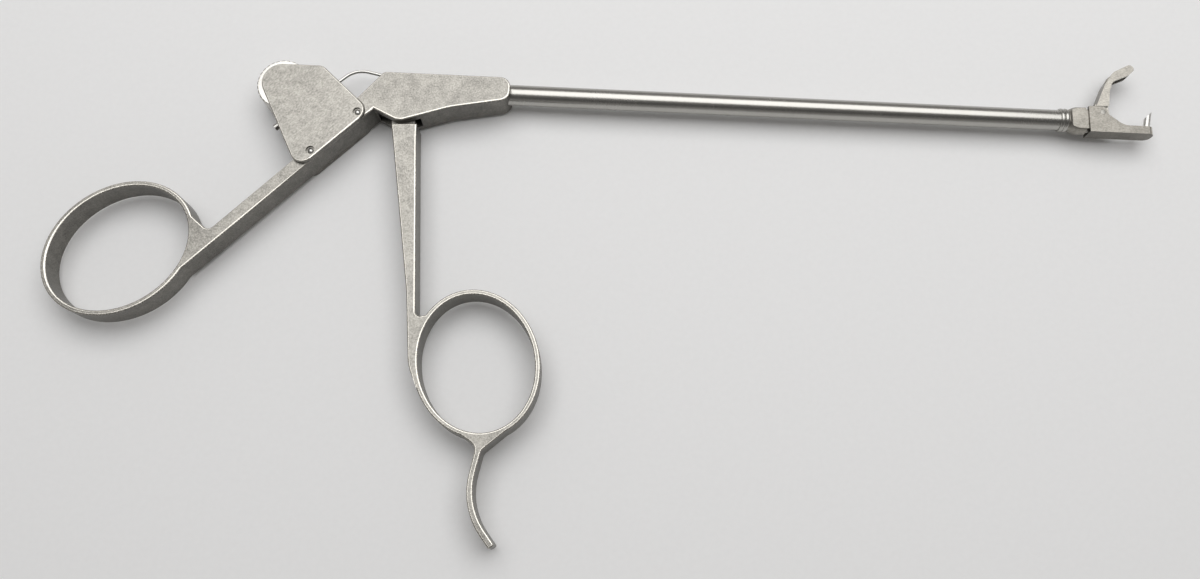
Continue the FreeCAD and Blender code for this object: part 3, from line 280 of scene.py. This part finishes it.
# %% Finishes
WARM = (0.32, 0.308, 0.281)
MILLED, TURNED, DRAWN = (2.0, 1.0, 1.0), (1.0, 40.0, 40.0), (1.0, 30.0, 30.0)
GROUND, GRINDING_ANGLE = (1.6, 1.0, 1.0), 46.2
steel("forged_steel", WARM, 0.40, 0.36, dent=0.95, mottle=0.46)
steel("plate_steel", WARM, 0.38, 0.34, stretch=GROUND, turn=GRINDING_ANGLE, dent=0.8, mottle=0.44)
steel("jaw_steel", (0.30, 0.285, 0.255), 0.34, 0.24, stretch=MILLED, dent=0.6, mottle=0.40)
steel("moving_jaw_steel", (0.39, 0.372, 0.335), 0.32, 0.24, stretch=MILLED, dent=0.6, mottle=0.34)
steel("shaft_steel", (0.435, 0.425, 0.40), 0.26, 0.08, stretch=TURNED, dent=0.05, mottle=0.06, grit=0.03)
steel("needle_steel", (0.72, 0.71, 0.68), 0.38, 0.10, dent=0.2, mottle=0.06)
steel("rod_steel", (0.46, 0.45, 0.43), 0.28, 0.08, stretch=DRAWN, dent=0.3, mottle=0.06)

# %% [markdown]
# ## Turned ends
# A pin or a wheel is faced on a lathe, so its flat end has fine rings round its middle. The rings come
# from a noise along one number only, the distance from the axis, and the axis is where the solid says.


# %% A finish with rings about an upright axis
RING_WEIGHT, FLECK_WEIGHT, FLECKS_PER_METRE = 1.2, 0.8, 300.0
RING_TONES, RING_ROUGHNESS, FLECK_ROUGHNESS = (0.88, 1.08), 0.16, 0.08
RING_DENT, DENT_PER_RING = 0.4, 0.1


def ringed_steel(name, colour, roughness, centre, ring_width):
    """Steel with rings, about as wide as given in mm, round the upright axis through a centre in metres."""
    finish = Finish(name, Metallic=1.0)
    place = finish.node("ShaderNodeTexCoord", out="Object")
    offset = (-centre[0], -centre[1], 0.0)
    flattened = finish.node(
        "ShaderNodeMapping", {"Vector": place, "Location": offset, "Scale": (1.0, 1.0, 0.0)}
    )
    distance = finish.node("ShaderNodeVectorMath", {0: flattened}, out="Value", operation="LENGTH")
    per_metre = 1.0 / (ring_width * MM)
    rings = finish.node(
        "ShaderNodeTexNoise", {"W": distance, "Scale": per_metre, "Detail": 3.0, "Roughness": 0.7},
        noise_dimensions="1D",
    )
    flecks = finish.node(
        "ShaderNodeTexNoise", {"Vector": place, "Scale": FLECKS_PER_METRE, "Detail": 4.0, "Roughness": 0.6}
    )
    tone = 0.5 + (rings - 0.5) * RING_WEIGHT + (flecks - 0.5) * FLECK_WEIGHT
    dark, light = (rgba(colour, factor) for factor in RING_TONES)
    finish.give("Base Color", finish.blend_colours(tone, dark, light))
    rough = roughness + (rings - 0.5) * RING_ROUGHNESS + (flecks - 0.5) * FLECK_ROUGHNESS
    finish.give("Roughness", rough.at_least(ROUGHNESS_RANGE[0]))
    depth = ring_width * MM * DENT_PER_RING
    finish.give(
        "Normal", finish.node("ShaderNodeBump", {"Height": rings, "Strength": RING_DENT, "Distance": depth})
    )
    return finish.material


def middle(node):
    """The middle of a node's box, in metres."""
    low, high = (np.array(corner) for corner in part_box(node))
    return (low + high) / 2


print("wheel's axis at", np.round(middle("feed_wheel") / MM, 2), "mm")

# %% [markdown]
# ## Pieces and nodes
# Each visible piece stands in for one solid. It rides on the solid's own body, so that it moves with it.


# %% Showing a piece
def body_name(node):
    """The body that carries a node, from the record."""
    bodies = frame["record"]["behaviour"]["bodies"]
    return next(name for name, members in bodies.items() if node in members)


def show(piece, node, finish):
    """Puts a piece in the scene in place of a node, on the node's body and with the given finish."""
    piece.data.materials.clear()
    piece.data.materials.append(finish)
    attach(piece, body_name(node))
    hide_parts(node)
    print(f"{piece.name}: {len(piece.data.polygons)} faces for {node}")


print("the wheel is carried by", body_name("feed_wheel"))

# %% [markdown]
# ## Painted highlights on bevels, painted shade on upright sides
# On a forged piece a narrow bevel runs round every flat face, and it is what catches the light. The finish
# finds it by a mark on its faces, and paints a highlight into its colour. A second mark on the upright
# sides paints them darker as shade. A bevel made of one flat strip would still look like a cut, so the
# shading rolls over it: along the edge that it shares with the flat face it takes that face's normal.

# %% Marks and rolled shading
FLAT_RISE, WALL_RISE, BEVEL_RISES = 0.97, 0.3, (0.5, 0.9)


def mark_faces(mesh):
    """Marks bevels and upright sides by the rise of a face, which is the size of its normal's Z. Every
    corner of a flat face, and every corner of a bevel that touches one, gets the flat face's own normal."""
    face_normals = np.empty(len(mesh.polygons) * 3)
    mesh.polygons.foreach_get("normal", face_normals)
    face_normals = face_normals.reshape(-1, 3)
    rise = np.abs(face_normals[:, 2])
    # The bevel mark brings a painted highlight and the polish of wear. The upright-side mark brings painted
    # shade.
    marks = {"rim_highlight_and_wear": (rise > WALL_RISE) & (rise < FLAT_RISE), "painted_side_shade": rise <= WALL_RISE}
    for name, mask in marks.items():
        mesh.attributes.new(name, "FLOAT", "FACE").data.foreach_set("value", mask.astype(float))

    sides, corner_points = np.empty(len(mesh.polygons), dtype=int), np.empty(len(mesh.loops), dtype=int)
    mesh.polygons.foreach_get("loop_total", sides)
    mesh.loops.foreach_get("vertex_index", corner_points)
    normals = np.empty(len(mesh.loops) * 3, dtype=np.float32)
    mesh.corner_normals.foreach_get("vector", normals)
    normals = normals.reshape(-1, 3)
    flat = np.repeat(rise >= FLAT_RISE, sides)
    bevel = np.repeat((rise > BEVEL_RISES[0]) & (rise < BEVEL_RISES[1]), sides)
    flat_side = np.zeros(len(mesh.vertices))
    flat_side[corner_points[flat]] = np.sign(np.repeat(face_normals[:, 2], sides)[flat])
    rolled = flat | (bevel & (flat_side[corner_points] != 0))
    normals[rolled] = 0.0
    normals[rolled, 2] = flat_side[corner_points[rolled]]
    mesh.normals_split_custom_set(normals)
    print("bevel faces:", marks["rim_highlight_and_wear"].sum(), "wall faces:", marks["painted_side_shade"].sum())


# %% [markdown]
# ## The tail of the trigger's arm
# The solid arm ends on its ring in a step of 0.4 mm. In the picture it runs out along the ring, so there
# the copy's corner is moved on to the ring's own outline, at every height.

# %% Moving an upright corner
ARM_TAIL, ARM_TAIL_LANDING, TAIL_REACH = (-15.158, -72.989), (-13.98, -74.22), 0.3


def slide(mesh, corner, landing, reach):
    """Moves the points within reach of an upright corner (x, y) to a landing, all in mm, at every height."""
    points = np.empty(len(mesh.vertices) * 3)
    mesh.vertices.foreach_get("co", points)
    points = points.reshape(-1, 3)
    near = np.hypot(*(points[:, :2] / MM - corner).T) < reach
    points[near, :2] += np.subtract(landing, corner) * MM
    mesh.vertices.foreach_set("co", points.ravel())
    print("points moved at the corner:", near.sum())


# %% [markdown]
# ## Forged and milled pieces
# The handles, plates and jaws have the right shape already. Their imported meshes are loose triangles, and
# look faceted where a ring bends. A copy is joined at its corners, then shaded smooth, with a hard edge
# wherever two faces meet at more than a set angle, so bevels stay crisp. The solid itself isn't touched.

# %% Smooth copies
HARD_EDGE_ANGLE, SAME_POINT = 28.0, 2e-6
MARKED_FINISHES = ("forged_steel", "plate_steel", "jaw_steel", "moving_jaw_steel")


def smooth_copy(node, name, finish):
    """A copy of the node's mesh with its doubled corners merged and its gentle edges shaded smooth."""
    mesh = frame["nodes"][node].data.copy()
    mesh.name = name
    work = bmesh.new()
    work.from_mesh(mesh)
    bmesh.ops.remove_doubles(work, verts=work.verts, dist=SAME_POINT)
    work.to_mesh(mesh)
    work.free()
    if node == "trigger":
        slide(mesh, ARM_TAIL, ARM_TAIL_LANDING, TAIL_REACH)
    if mesh.has_custom_normals:
        mesh.attributes.remove(mesh.attributes["custom_normal"])
    mesh.polygons.foreach_set("use_smooth", np.ones(len(mesh.polygons), dtype=bool))
    mesh.set_sharp_from_angle(angle=math.radians(HARD_EDGE_ANGLE))
    if finish in MARKED_FINISHES:
        mark_faces(mesh)
    piece = bpy.data.objects.new(name, mesh)
    bpy.context.scene.collection.objects.link(piece)
    show(piece, node, finishes[finish])


for node, name, finish, slot in (
    ("rear_handle", "forged_rear_handle", "forged_steel", "forged_steel"),
    ("trigger", "forged_trigger", "forged_steel", "forged_steel"),
    ("cover_plate", "upper_side_plate", "plate_steel", "plate_steel"),
    ("back_plate", "lower_side_plate", "plate_steel", "plate_steel"),
    ("lower_jaw", "fixed_jaw", "jaw_steel", "jaw_steel"),
    ("upper_jaw", "moving_jaw", "moving_jaw_steel", "jaw_steel"),
    ("jaw_needle", "hollow_needle", "needle_steel", "needle_steel"),
    ("guide_tube", "thread_tube", "needle_steel", "needle_steel"),
    ("thread_inlet", "thread_ferrule", "rod_steel", "needle_steel"),
    ("actuator_rod", "pull_rod", "rod_steel", "rod_steel"),
    ("rod_yoke", "pull_rod_yoke", "rod_steel", "rod_steel"),
):
    smooth_copy(node, name, finish)

# %% [markdown]
# ## Turned pieces
# A turned piece is a profile swung round an axis. The profile's corners are rounded first, because a lathe
# tool and a polishing cloth leave none sharp, and it is the small round edge that catches the light.

# %% Rounded profiles
TINY = 1e-9


def rounded(corners, radius, closed=False, steps=6):
    """Rounds a profile's corners: each is replaced by the curve (1-t)^2 A + 2t(1-t) P + t^2 B, where P is
    the corner and A and B lie on its two sides, a radius away or half the side if that is less. The two
    ends of an open profile stay as they are, and take a tiny side in place of the one they lack."""
    corners = np.asarray(corners, dtype=float)
    radii = np.broadcast_to(np.asarray(radius, dtype=float), len(corners)).copy()
    before, after = np.roll(corners, 1, axis=0), np.roll(corners, -1, axis=0)
    if not closed:
        radii[[0, -1]] = 0.0
        before[0], after[-1] = corners[0] + TINY, corners[-1] + TINY
    back, ahead = before - corners, after - corners
    back_length = np.linalg.norm(back, axis=1)[:, None]
    ahead_length = np.linalg.norm(ahead, axis=1)[:, None]
    start = corners + back / back_length * np.minimum(radii[:, None], back_length * 0.5)
    end = corners + ahead / ahead_length * np.minimum(radii[:, None], ahead_length * 0.5)
    t = np.linspace(0.0, 1.0, steps + 1)[None, :, None]
    curve = (1 - t) ** 2 * start[:, None] + 2 * t * (1 - t) * corners[:, None] + t**2 * end[:, None]
    return np.concatenate([arc if bend > 0 else arc[:1] for arc, bend in zip(curve, radii)])


print("profile of a test pin:", len(rounded([(0, 0), (0, 1), (5, 1), (5, 0)], 0.1)), "points")

# %% [markdown]
# ## Swinging a profile
# As a formula: the point at angle a of the profile point (x, r) is (x, r cos a, r sin a). All angles are
# worked out at once, as a grid with a row for each point of the profile and a column for each angle.


# %% Swung grids
def swung(profile, columns=96, axis="X", centre=(0.0, 0.0)):
    """The grid of points of a profile (along, radius), in mm, swung round the axis through the centre.
    Column j stands at the angle 2 pi j / columns."""
    angle = np.linspace(0.0, 2.0 * np.pi, columns, endpoint=False)
    along = np.repeat(profile[:, :1], columns, axis=1)
    across = profile[:, 1:] * np.cos(angle) + centre[0]
    upright = profile[:, 1:] * np.sin(angle) + centre[1]
    order = (along, across, upright) if axis == "X" else (across, upright, along)
    return np.stack(order, axis=-1)


print("grid of a test pin:", swung(rounded([(0, 0), (0, 1), (5, 1), (5, 0)], 0.1)).shape)

# %% [markdown]
# ## From a grid to a piece
# Four neighbours in a grid make a face. A grid is closed round the axis, and a tube's profile is a closed
# loop as well. A pin's profile starts and ends on the axis, where a whole row falls on one point, so
# doubled points are merged, and then the normals are turned to point outwards.

# %% Turned surfaces
MERGE_DISTANCE = 1e-7


def grid_faces(rows, columns, closed_rows, first):
    """The four corners of each cell of a grid, as first + row * columns + column. The last column is joined
    to the first, and so is the last row where the rows are closed."""
    row = np.arange(rows if closed_rows else rows - 1)[:, None]
    column = np.arange(columns)[None, :]
    up, across = (row + 1) % rows * columns, (column + 1) % columns
    row = row * columns
    cells = np.stack([row + column, up + column, up + across, row + across], -1)
    return cells.reshape(-1, 4) + first


def surface(name, grids, closed_rows, angle=30.0):
    """A mesh object of one or more grids in mm, shaded smooth except where faces meet above the angle."""
    points, faces, count = [], [], 0
    for grid in grids:
        rows, columns = grid.shape[:2]
        points.append(grid.reshape(-1, 3) * MM)
        faces.append(grid_faces(rows, columns, closed_rows, count))
        count += rows * columns
    mesh = bpy.data.meshes.new(name)
    mesh.from_pydata(np.concatenate(points), [], np.concatenate(faces))
    work = bmesh.new()
    work.from_mesh(mesh)
    bmesh.ops.remove_doubles(work, verts=work.verts, dist=MERGE_DISTANCE)
    bmesh.ops.recalc_face_normals(work, faces=work.faces)
    work.to_mesh(mesh)
    work.free()
    mesh.polygons.foreach_set("use_smooth", np.ones(len(mesh.polygons), dtype=bool))
    mesh.set_sharp_from_angle(angle=math.radians(angle))
    piece = bpy.data.objects.new(name, mesh)
    bpy.context.scene.collection.objects.link(piece)
    return piece


print("faces of a closed grid, 3 by 4:", len(grid_faces(3, 4, True, 0)))

# %% [markdown]
# ## Shaft
# The shaft is a plain tube, 4.8 mm across, that runs from inside the body to the head. Only its front
# end shows, under the collar, so a loop of four corners with slightly broken edges is enough.

# %% Shaft
SHAFT_RADIUS, SHAFT_BORE_RADIUS, SHAFT_EDGE = 2.4, 2.0, 0.08
shaft_low, shaft_high = (corner[0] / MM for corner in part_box("shaft_tube"))
shaft_corners = [
    (shaft_low, SHAFT_BORE_RADIUS), (shaft_low, SHAFT_RADIUS),
    (shaft_high, SHAFT_RADIUS), (shaft_high, SHAFT_BORE_RADIUS),
]
shaft_grid = swung(rounded(shaft_corners, SHAFT_EDGE, closed=True), columns=128)
shaft = surface("polished_shaft", [shaft_grid], closed_rows=True)
show(shaft, "shaft_tube", finishes["shaft_steel"])

# %% [markdown]
# ## Collar
# A ring with two round beads covers the joint of shaft and head. Each bead is part of a circle. As a
# formula, the bulge along x is the root of b squared less (x - c) squared, for a bead with its middle at c
# and b half as long. It is 0 past the bead's ends, and is then scaled to the bead's height over the waist.

# %% Collar
BEAD_HEIGHT, BEAD_SHARE = 0.24, 0.24
collar_low, collar_high = (corner[0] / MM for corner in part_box("shaft_collar"))
collar_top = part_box("shaft_collar")[1][1] / MM
bead_half = (collar_high - collar_low) * BEAD_SHARE
waist = collar_top - BEAD_HEIGHT
along = np.linspace(collar_low, collar_high, 61)
bead_middles = np.array([collar_low + bead_half, collar_high - bead_half])
inside = bead_half**2 - (along[:, None] - bead_middles[None, :]) ** 2
bulge = np.sqrt(np.clip(inside, 0.0, None)).max(axis=1)
outer = np.stack([along, waist + bulge / bead_half * (collar_top - waist)], axis=1)
collar_profile = np.concatenate([outer, [[collar_high, SHAFT_RADIUS], [collar_low, SHAFT_RADIUS]]])
collar = surface("beaded_collar", [swung(collar_profile, columns=128)], closed_rows=True, angle=40.0)
show(collar, "shaft_collar", finishes["shaft_steel"])

# %% [markdown]
# ## Flats on a turned piece
# A flat is a limit on the height: z is r sin a, but never more than half the thickness. To keep the
# flat's edge crisp, the angles of each ring are shared out so that one column always runs along that edge.

# %% A turned grid with two flats
NEARLY_ROUND = 0.999


def flat_sided(profile, quarter=14):
    """The grid of a profile (x, radius, half thickness): z is cut off at the half thickness, and the angles
    of a quarter turn are spread evenly below and above the angle where the cut starts. Where the half
    thickness is more than the radius, nothing is cut, and that angle is nearly a right one."""
    x, radius, half = (profile[:, index : index + 1] for index in range(3))
    edge = np.arcsin(np.clip(half / radius, 0.0, NEARLY_ROUND))
    t = np.linspace(0.0, 1.0, quarter, endpoint=False)[None, :]
    rising = np.concatenate([edge * t, edge + (np.pi / 2 - edge) * t], axis=1)
    falling = np.pi - np.concatenate([rising[:, 1:], np.full_like(x, np.pi / 2)], axis=1)[:, ::-1]
    upper = np.concatenate([rising, falling], axis=1)
    angle = np.concatenate([upper, upper + np.pi], axis=1)
    height = np.clip(radius * np.sin(angle), -half, half)
    return np.stack([np.broadcast_to(x, angle.shape), radius * np.cos(angle), height], axis=-1)


print("columns of a flat-sided grid:", flat_sided(np.array([[0.0, 3.0, 2.0]])).shape[1])

# %% [markdown]
# ## Head
# The head swells from the shaft like a drop and then has two flats milled on it, so that it is as thin as
# the jaws. As a formula, its radius grows with the power 1.2 of the sine of a quarter turn. Its front is
# hollow and flat-sided too, and takes the tenon of the fixed jaw.

# %% Head
SWELL_START, SWELL_LENGTH, HEAD_EDGE = 1.0, 2.6, 0.12
FLATS_START, FLATS_RUN, HEAD_HALF, NECK_HALF = 1.2, 0.7, 2.0, 2.42
POCKET_RADIUS, POCKET_HALF, POCKET_DEPTH, POCKET_FLOOR, BORE_HALF = 2.9, 1.65, 2.05, 2.1, 1.9
head_low, head_high = (corner[0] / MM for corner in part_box("tip_head"))
head_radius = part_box("tip_head")[1][1] / MM
swell = np.linspace(0.0, 1.0, 30)
swell_x = head_low + SWELL_START + swell * SWELL_LENGTH
swell_radius = SHAFT_RADIUS + (head_radius - SHAFT_RADIUS) * np.sin(swell * np.pi / 2) ** 1.2
outer_x = np.concatenate([[head_low], swell_x, [head_high - HEAD_EDGE, head_high]])
outer_radius = np.concatenate([[SHAFT_RADIUS], swell_radius, [head_radius, head_radius - HEAD_EDGE]])
thinning = np.clip((outer_x - head_low - FLATS_START) / FLATS_RUN, 0.0, 1.0)
head_outer = np.stack([outer_x, outer_radius, NECK_HALF + (HEAD_HALF - NECK_HALF) * thinning], axis=1)
head_inner = np.array([
    [head_high, POCKET_RADIUS, POCKET_HALF],
    [head_high - POCKET_DEPTH, POCKET_RADIUS, POCKET_HALF],
    [head_high - POCKET_FLOOR, SHAFT_BORE_RADIUS, POCKET_HALF],
    [head_low, SHAFT_BORE_RADIUS, BORE_HALF],
])
head_grid = flat_sided(np.concatenate([head_outer, head_inner]))
head = surface("turned_head", [head_grid], closed_rows=True, angle=24.0)
show(head, "tip_head", finishes["jaw_steel"])

# %% [markdown]
# ## Feed wheel
# The thumb turns this wheel to push the thread along, and its rim is cut with notches for grip. The grid
# is a closed profile swung round the wheel's axis, and the radius of its rim also depends on the angle: at
# each notch it drops by a V, which is depth times the larger of 0 and 1 - |distance from the notch| / half
# its width. The notch fades out towards the axis, over a quarter of a millimetre, so it cuts the rim alone.

# %% Feed wheel
NOTCHES, COLUMNS_PER_NOTCH, NOTCH_DEPTH, NOTCH_HALF_WIDTH, NOTCH_FADE = 30, 12, 0.30, 0.28, 0.25
WHEEL_BORE_RADIUS, WHEEL_EDGE = 1.05, 0.35
wheel_low, wheel_high = (np.array(corner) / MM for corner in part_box("feed_wheel"))
wheel_middle = (wheel_low + wheel_high) / 2
wheel_radius = (wheel_high - wheel_low)[0] / 2
wheel_top = wheel_high[2]
wheel_corners = [
    (-wheel_top, WHEEL_BORE_RADIUS), (-wheel_top, wheel_radius),
    (wheel_top, wheel_radius), (wheel_top, WHEEL_BORE_RADIUS),
]
wheel_profile = rounded(wheel_corners, [0, WHEEL_EDGE, WHEEL_EDGE, 0], closed=True)
wheel_columns = NOTCHES * COLUMNS_PER_NOTCH
wheel_grid = swung(wheel_profile, wheel_columns, axis="Z", centre=tuple(wheel_middle[:2]))
turns = np.arange(wheel_columns) / COLUMNS_PER_NOTCH
notch = np.clip(1.0 - np.abs(turns % 1.0 - 0.5) / NOTCH_HALF_WIDTH, 0.0, 1.0)
on_rim = np.clip((wheel_profile[:, 1] - (wheel_radius - NOTCH_FADE)) / NOTCH_FADE, 0.0, 1.0)
shrink = 1.0 - on_rim[:, None] * notch[None, :] * NOTCH_DEPTH / wheel_radius
wheel_grid[..., :2] = wheel_middle[:2] + (wheel_grid[..., :2] - wheel_middle[:2]) * shrink[..., None]
feed_wheel = surface("notched_wheel", [wheel_grid], closed_rows=True)
wheel_finish = ringed_steel("wheel_steel", (0.60, 0.585, 0.55), 0.24, middle("feed_wheel"), 0.12)
show(feed_wheel, "feed_wheel", wheel_finish)

# %% [markdown]
# ## Pressure roller
# The roller beside the wheel holds the thread against it. It is a short plain tube, hidden by the plates
# except for its edge.

# %% Pressure roller
ROLLER_BORE_RADIUS, ROLLER_EDGE = 0.8, 0.15
roller_low, roller_high = (np.array(corner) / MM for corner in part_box("idler_roller"))
roller_middle = (roller_low + roller_high) / 2
roller_radius = (roller_high - roller_low)[0] / 2
roller_corners = [
    (roller_low[2], ROLLER_BORE_RADIUS), (roller_low[2], roller_radius),
    (roller_high[2], roller_radius), (roller_high[2], ROLLER_BORE_RADIUS),
]
roller_profile = rounded(roller_corners, ROLLER_EDGE, closed=True)
roller_grid = swung(roller_profile, columns=72, axis="Z", centre=tuple(roller_middle[:2]))
roller = surface("pressure_roller", [roller_grid], closed_rows=True)
roller_finish = ringed_steel("roller_steel", (0.46, 0.45, 0.42), 0.32, middle("idler_roller"), 0.1)
show(roller, "idler_roller", roller_finish)

# %% [markdown]
# ## Pins
# Every pin is a straight rod ground flush with the metal round it. The two in the body were blasted with
# it and hardly show. A narrow rounded edge at an end is what makes it visible, as a thin ring. The profile
# starts and ends on the axis, where the grid's points fall together and are merged to one.

# %% Pins
BLASTED_PINS = ("trigger_pivot_pin", "shaft_retaining_pin")
for node, name, edge in (
    ("trigger_pivot_pin", "trigger_pivot", 0.05),
    ("shaft_retaining_pin", "shaft_cross_pin", 0.05),
    ("jaw_pivot_pin", "jaw_pivot", 0.06),
    ("wheel_axle", "wheel_axle_rod", 0.15),
    ("idler_axle", "roller_axle_rod", 0.12),
    ("link_pin", "trigger_link", 0.12),
    ("drive_pin", "jaw_drive", 0.10),
):
    low, high = (np.array(corner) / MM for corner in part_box(node))
    centre, radius = (low + high) / 2, (high - low)[0] / 2
    corners = [(low[2], 0.0), (low[2], radius), (high[2], radius), (high[2], 0.0)]
    profile = rounded(corners, edge, steps=4)
    grid = swung(profile, columns=64, axis="Z", centre=tuple(centre[:2]))
    piece = surface(name, [grid], closed_rows=False, angle=50.0)
    if node in BLASTED_PINS:
        pin_finish = finishes["forged_steel"]
    else:
        pin_finish = ringed_steel(name + "_steel", (0.33, 0.32, 0.295), 0.32, middle(node), 0.1)
    show(piece, node, pin_finish)

# %% [markdown]
# ## Rivets
# Two rivets hold the side plates on. Their ends are low domes in small recesses. A dome's height is
# h (1 - (r / R)^2), a paraboloid, which is close to a sphere's cap when it is low.

# %% Rivets
RIVET_RADIUS, DOME = 0.70, 0.38
rivet_low, rivet_high = (np.array(corner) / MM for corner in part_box("cover_rivets"))
rivet_centres = [rivet_high[:2] - RIVET_RADIUS, rivet_low[:2] + RIVET_RADIUS]
dome_radius = np.linspace(RIVET_RADIUS, 0.0, 10)
dome = np.stack([rivet_high[2] - DOME * (dome_radius / RIVET_RADIUS) ** 2, dome_radius], axis=1)
rivet_profile = np.concatenate([dome[::-1] * (-1, 1), dome])
rivet_grids = [
    swung(rivet_profile, columns=48, axis="Z", centre=tuple(centre)) for centre in rivet_centres
]
rivets = surface("plate_rivets", rivet_grids, closed_rows=False, angle=50.0)
steel("rivet_steel", (0.72, 0.71, 0.68), 0.36, 0.08, dent=0.3)
show(rivets, "cover_rivets", finishes["rivet_steel"])

# %% [markdown]
# ## Table
# The tool lies on a plain pale table, which is one large square just below the lowest solid. Its paper has
# a faint fibre, as a noise between two close greys.

# %% Table
HALF_TABLE, TABLE_GAP = 1.5, 0.02 * MM
table_height = cad_box[0][2] - TABLE_GAP
table_corners = [(-HALF_TABLE, -HALF_TABLE), (HALF_TABLE, -HALF_TABLE)]
table_corners += [(HALF_TABLE, HALF_TABLE), (-HALF_TABLE, HALF_TABLE)]
table_mesh = bpy.data.meshes.new("table")
table_mesh.from_pydata([(x, y, table_height) for x, y in table_corners], [], [(0, 1, 2, 3)])
table = bpy.data.objects.new("table", table_mesh)
bpy.context.scene.collection.objects.link(table)
paper = Finish("pale_table", Roughness=0.75)
paper_place = paper.node("ShaderNodeTexCoord", out="Object")
fibre = paper.node("ShaderNodeTexNoise", {"Vector": paper_place, "Scale": 900.0, "Detail": 4.0})
paper.give("Base Color", paper.blend_colours(fibre, (0.86, 0.86, 0.86, 1.0), (0.90, 0.90, 0.90, 1.0)))
table_mesh.materials.append(paper.material)
print("table at", round(table_height / MM, 2), "mm")

# %% [markdown]
# ## Light
# Steel has almost no colour of its own and shows what is round it, so the light is one large soft shape: a
# wide panel overhead, a little behind the tool. The flat faces mirror it to the camera, and it draws the
# one white band along the top of the shaft.

# %% Ceiling panel
PANEL_WIDTH, PANEL_DEPTH, PANEL_WATTS = 0.90, 0.66, 3.7
panel_light = bpy.data.lights.new("ceiling_panel", "AREA")
panel_light.shape = "RECTANGLE"
panel_light.size, panel_light.size_y = PANEL_WIDTH, PANEL_DEPTH
panel_light.energy = PANEL_WATTS
panel = bpy.data.objects.new("ceiling_panel", panel_light)
panel.location = (0.06, 0.23, 0.60)
bpy.context.scene.collection.objects.link(panel)
print("panel's radiance:", round(PANEL_WATTS / (math.pi * PANEL_WIDTH * PANEL_DEPTH), 2))

# %% [markdown]
# ## Room
# Round the panel the room is dark, which gives the shaft its dark lower half. Low down the walls are pale
# again, for the bevels and for a look from the side. As a formula, with z the height of a direction and c
# its cosine with the direction (0, 0.33, 0.944), which leans back as the panel does: the level is
# 0.10 + 0.46 c^4 + 0.34 w, where w is 1 - z / 0.60, kept between 0 and 1.

# %% Room
DARK_LEVEL, CEILING_LEVEL, WALL_LEVEL, WALL_HEIGHT = 0.10, 0.46, 0.34, 0.60
CEILING_Y, CEILING_Z = 0.33, 0.944
world = bpy.data.worlds.new("room")
world.use_nodes = True
bpy.context.scene.world = world
room = world.node_tree
direction = room.nodes.new("ShaderNodeTexCoord")
split = room.nodes.new("ShaderNodeSeparateXYZ")
room.links.new(direction.outputs["Generated"], split.inputs[0])
height, depth = Wire(room, split.outputs[2]), Wire(room, split.outputs[1])
toward_ceiling = (height * CEILING_Z + depth * CEILING_Y).at_least(0.0)
low_walls = (1.0 - height / WALL_HEIGHT).at_least(0.0).at_most(1.0)
level = DARK_LEVEL + toward_ceiling**4 * CEILING_LEVEL + low_walls * WALL_LEVEL
background = room.nodes["Background"]
background.inputs["Color"].default_value = (1.0, 0.98, 0.96, 1.0)
plug(room, background.inputs["Strength"], level)
print("room lit")
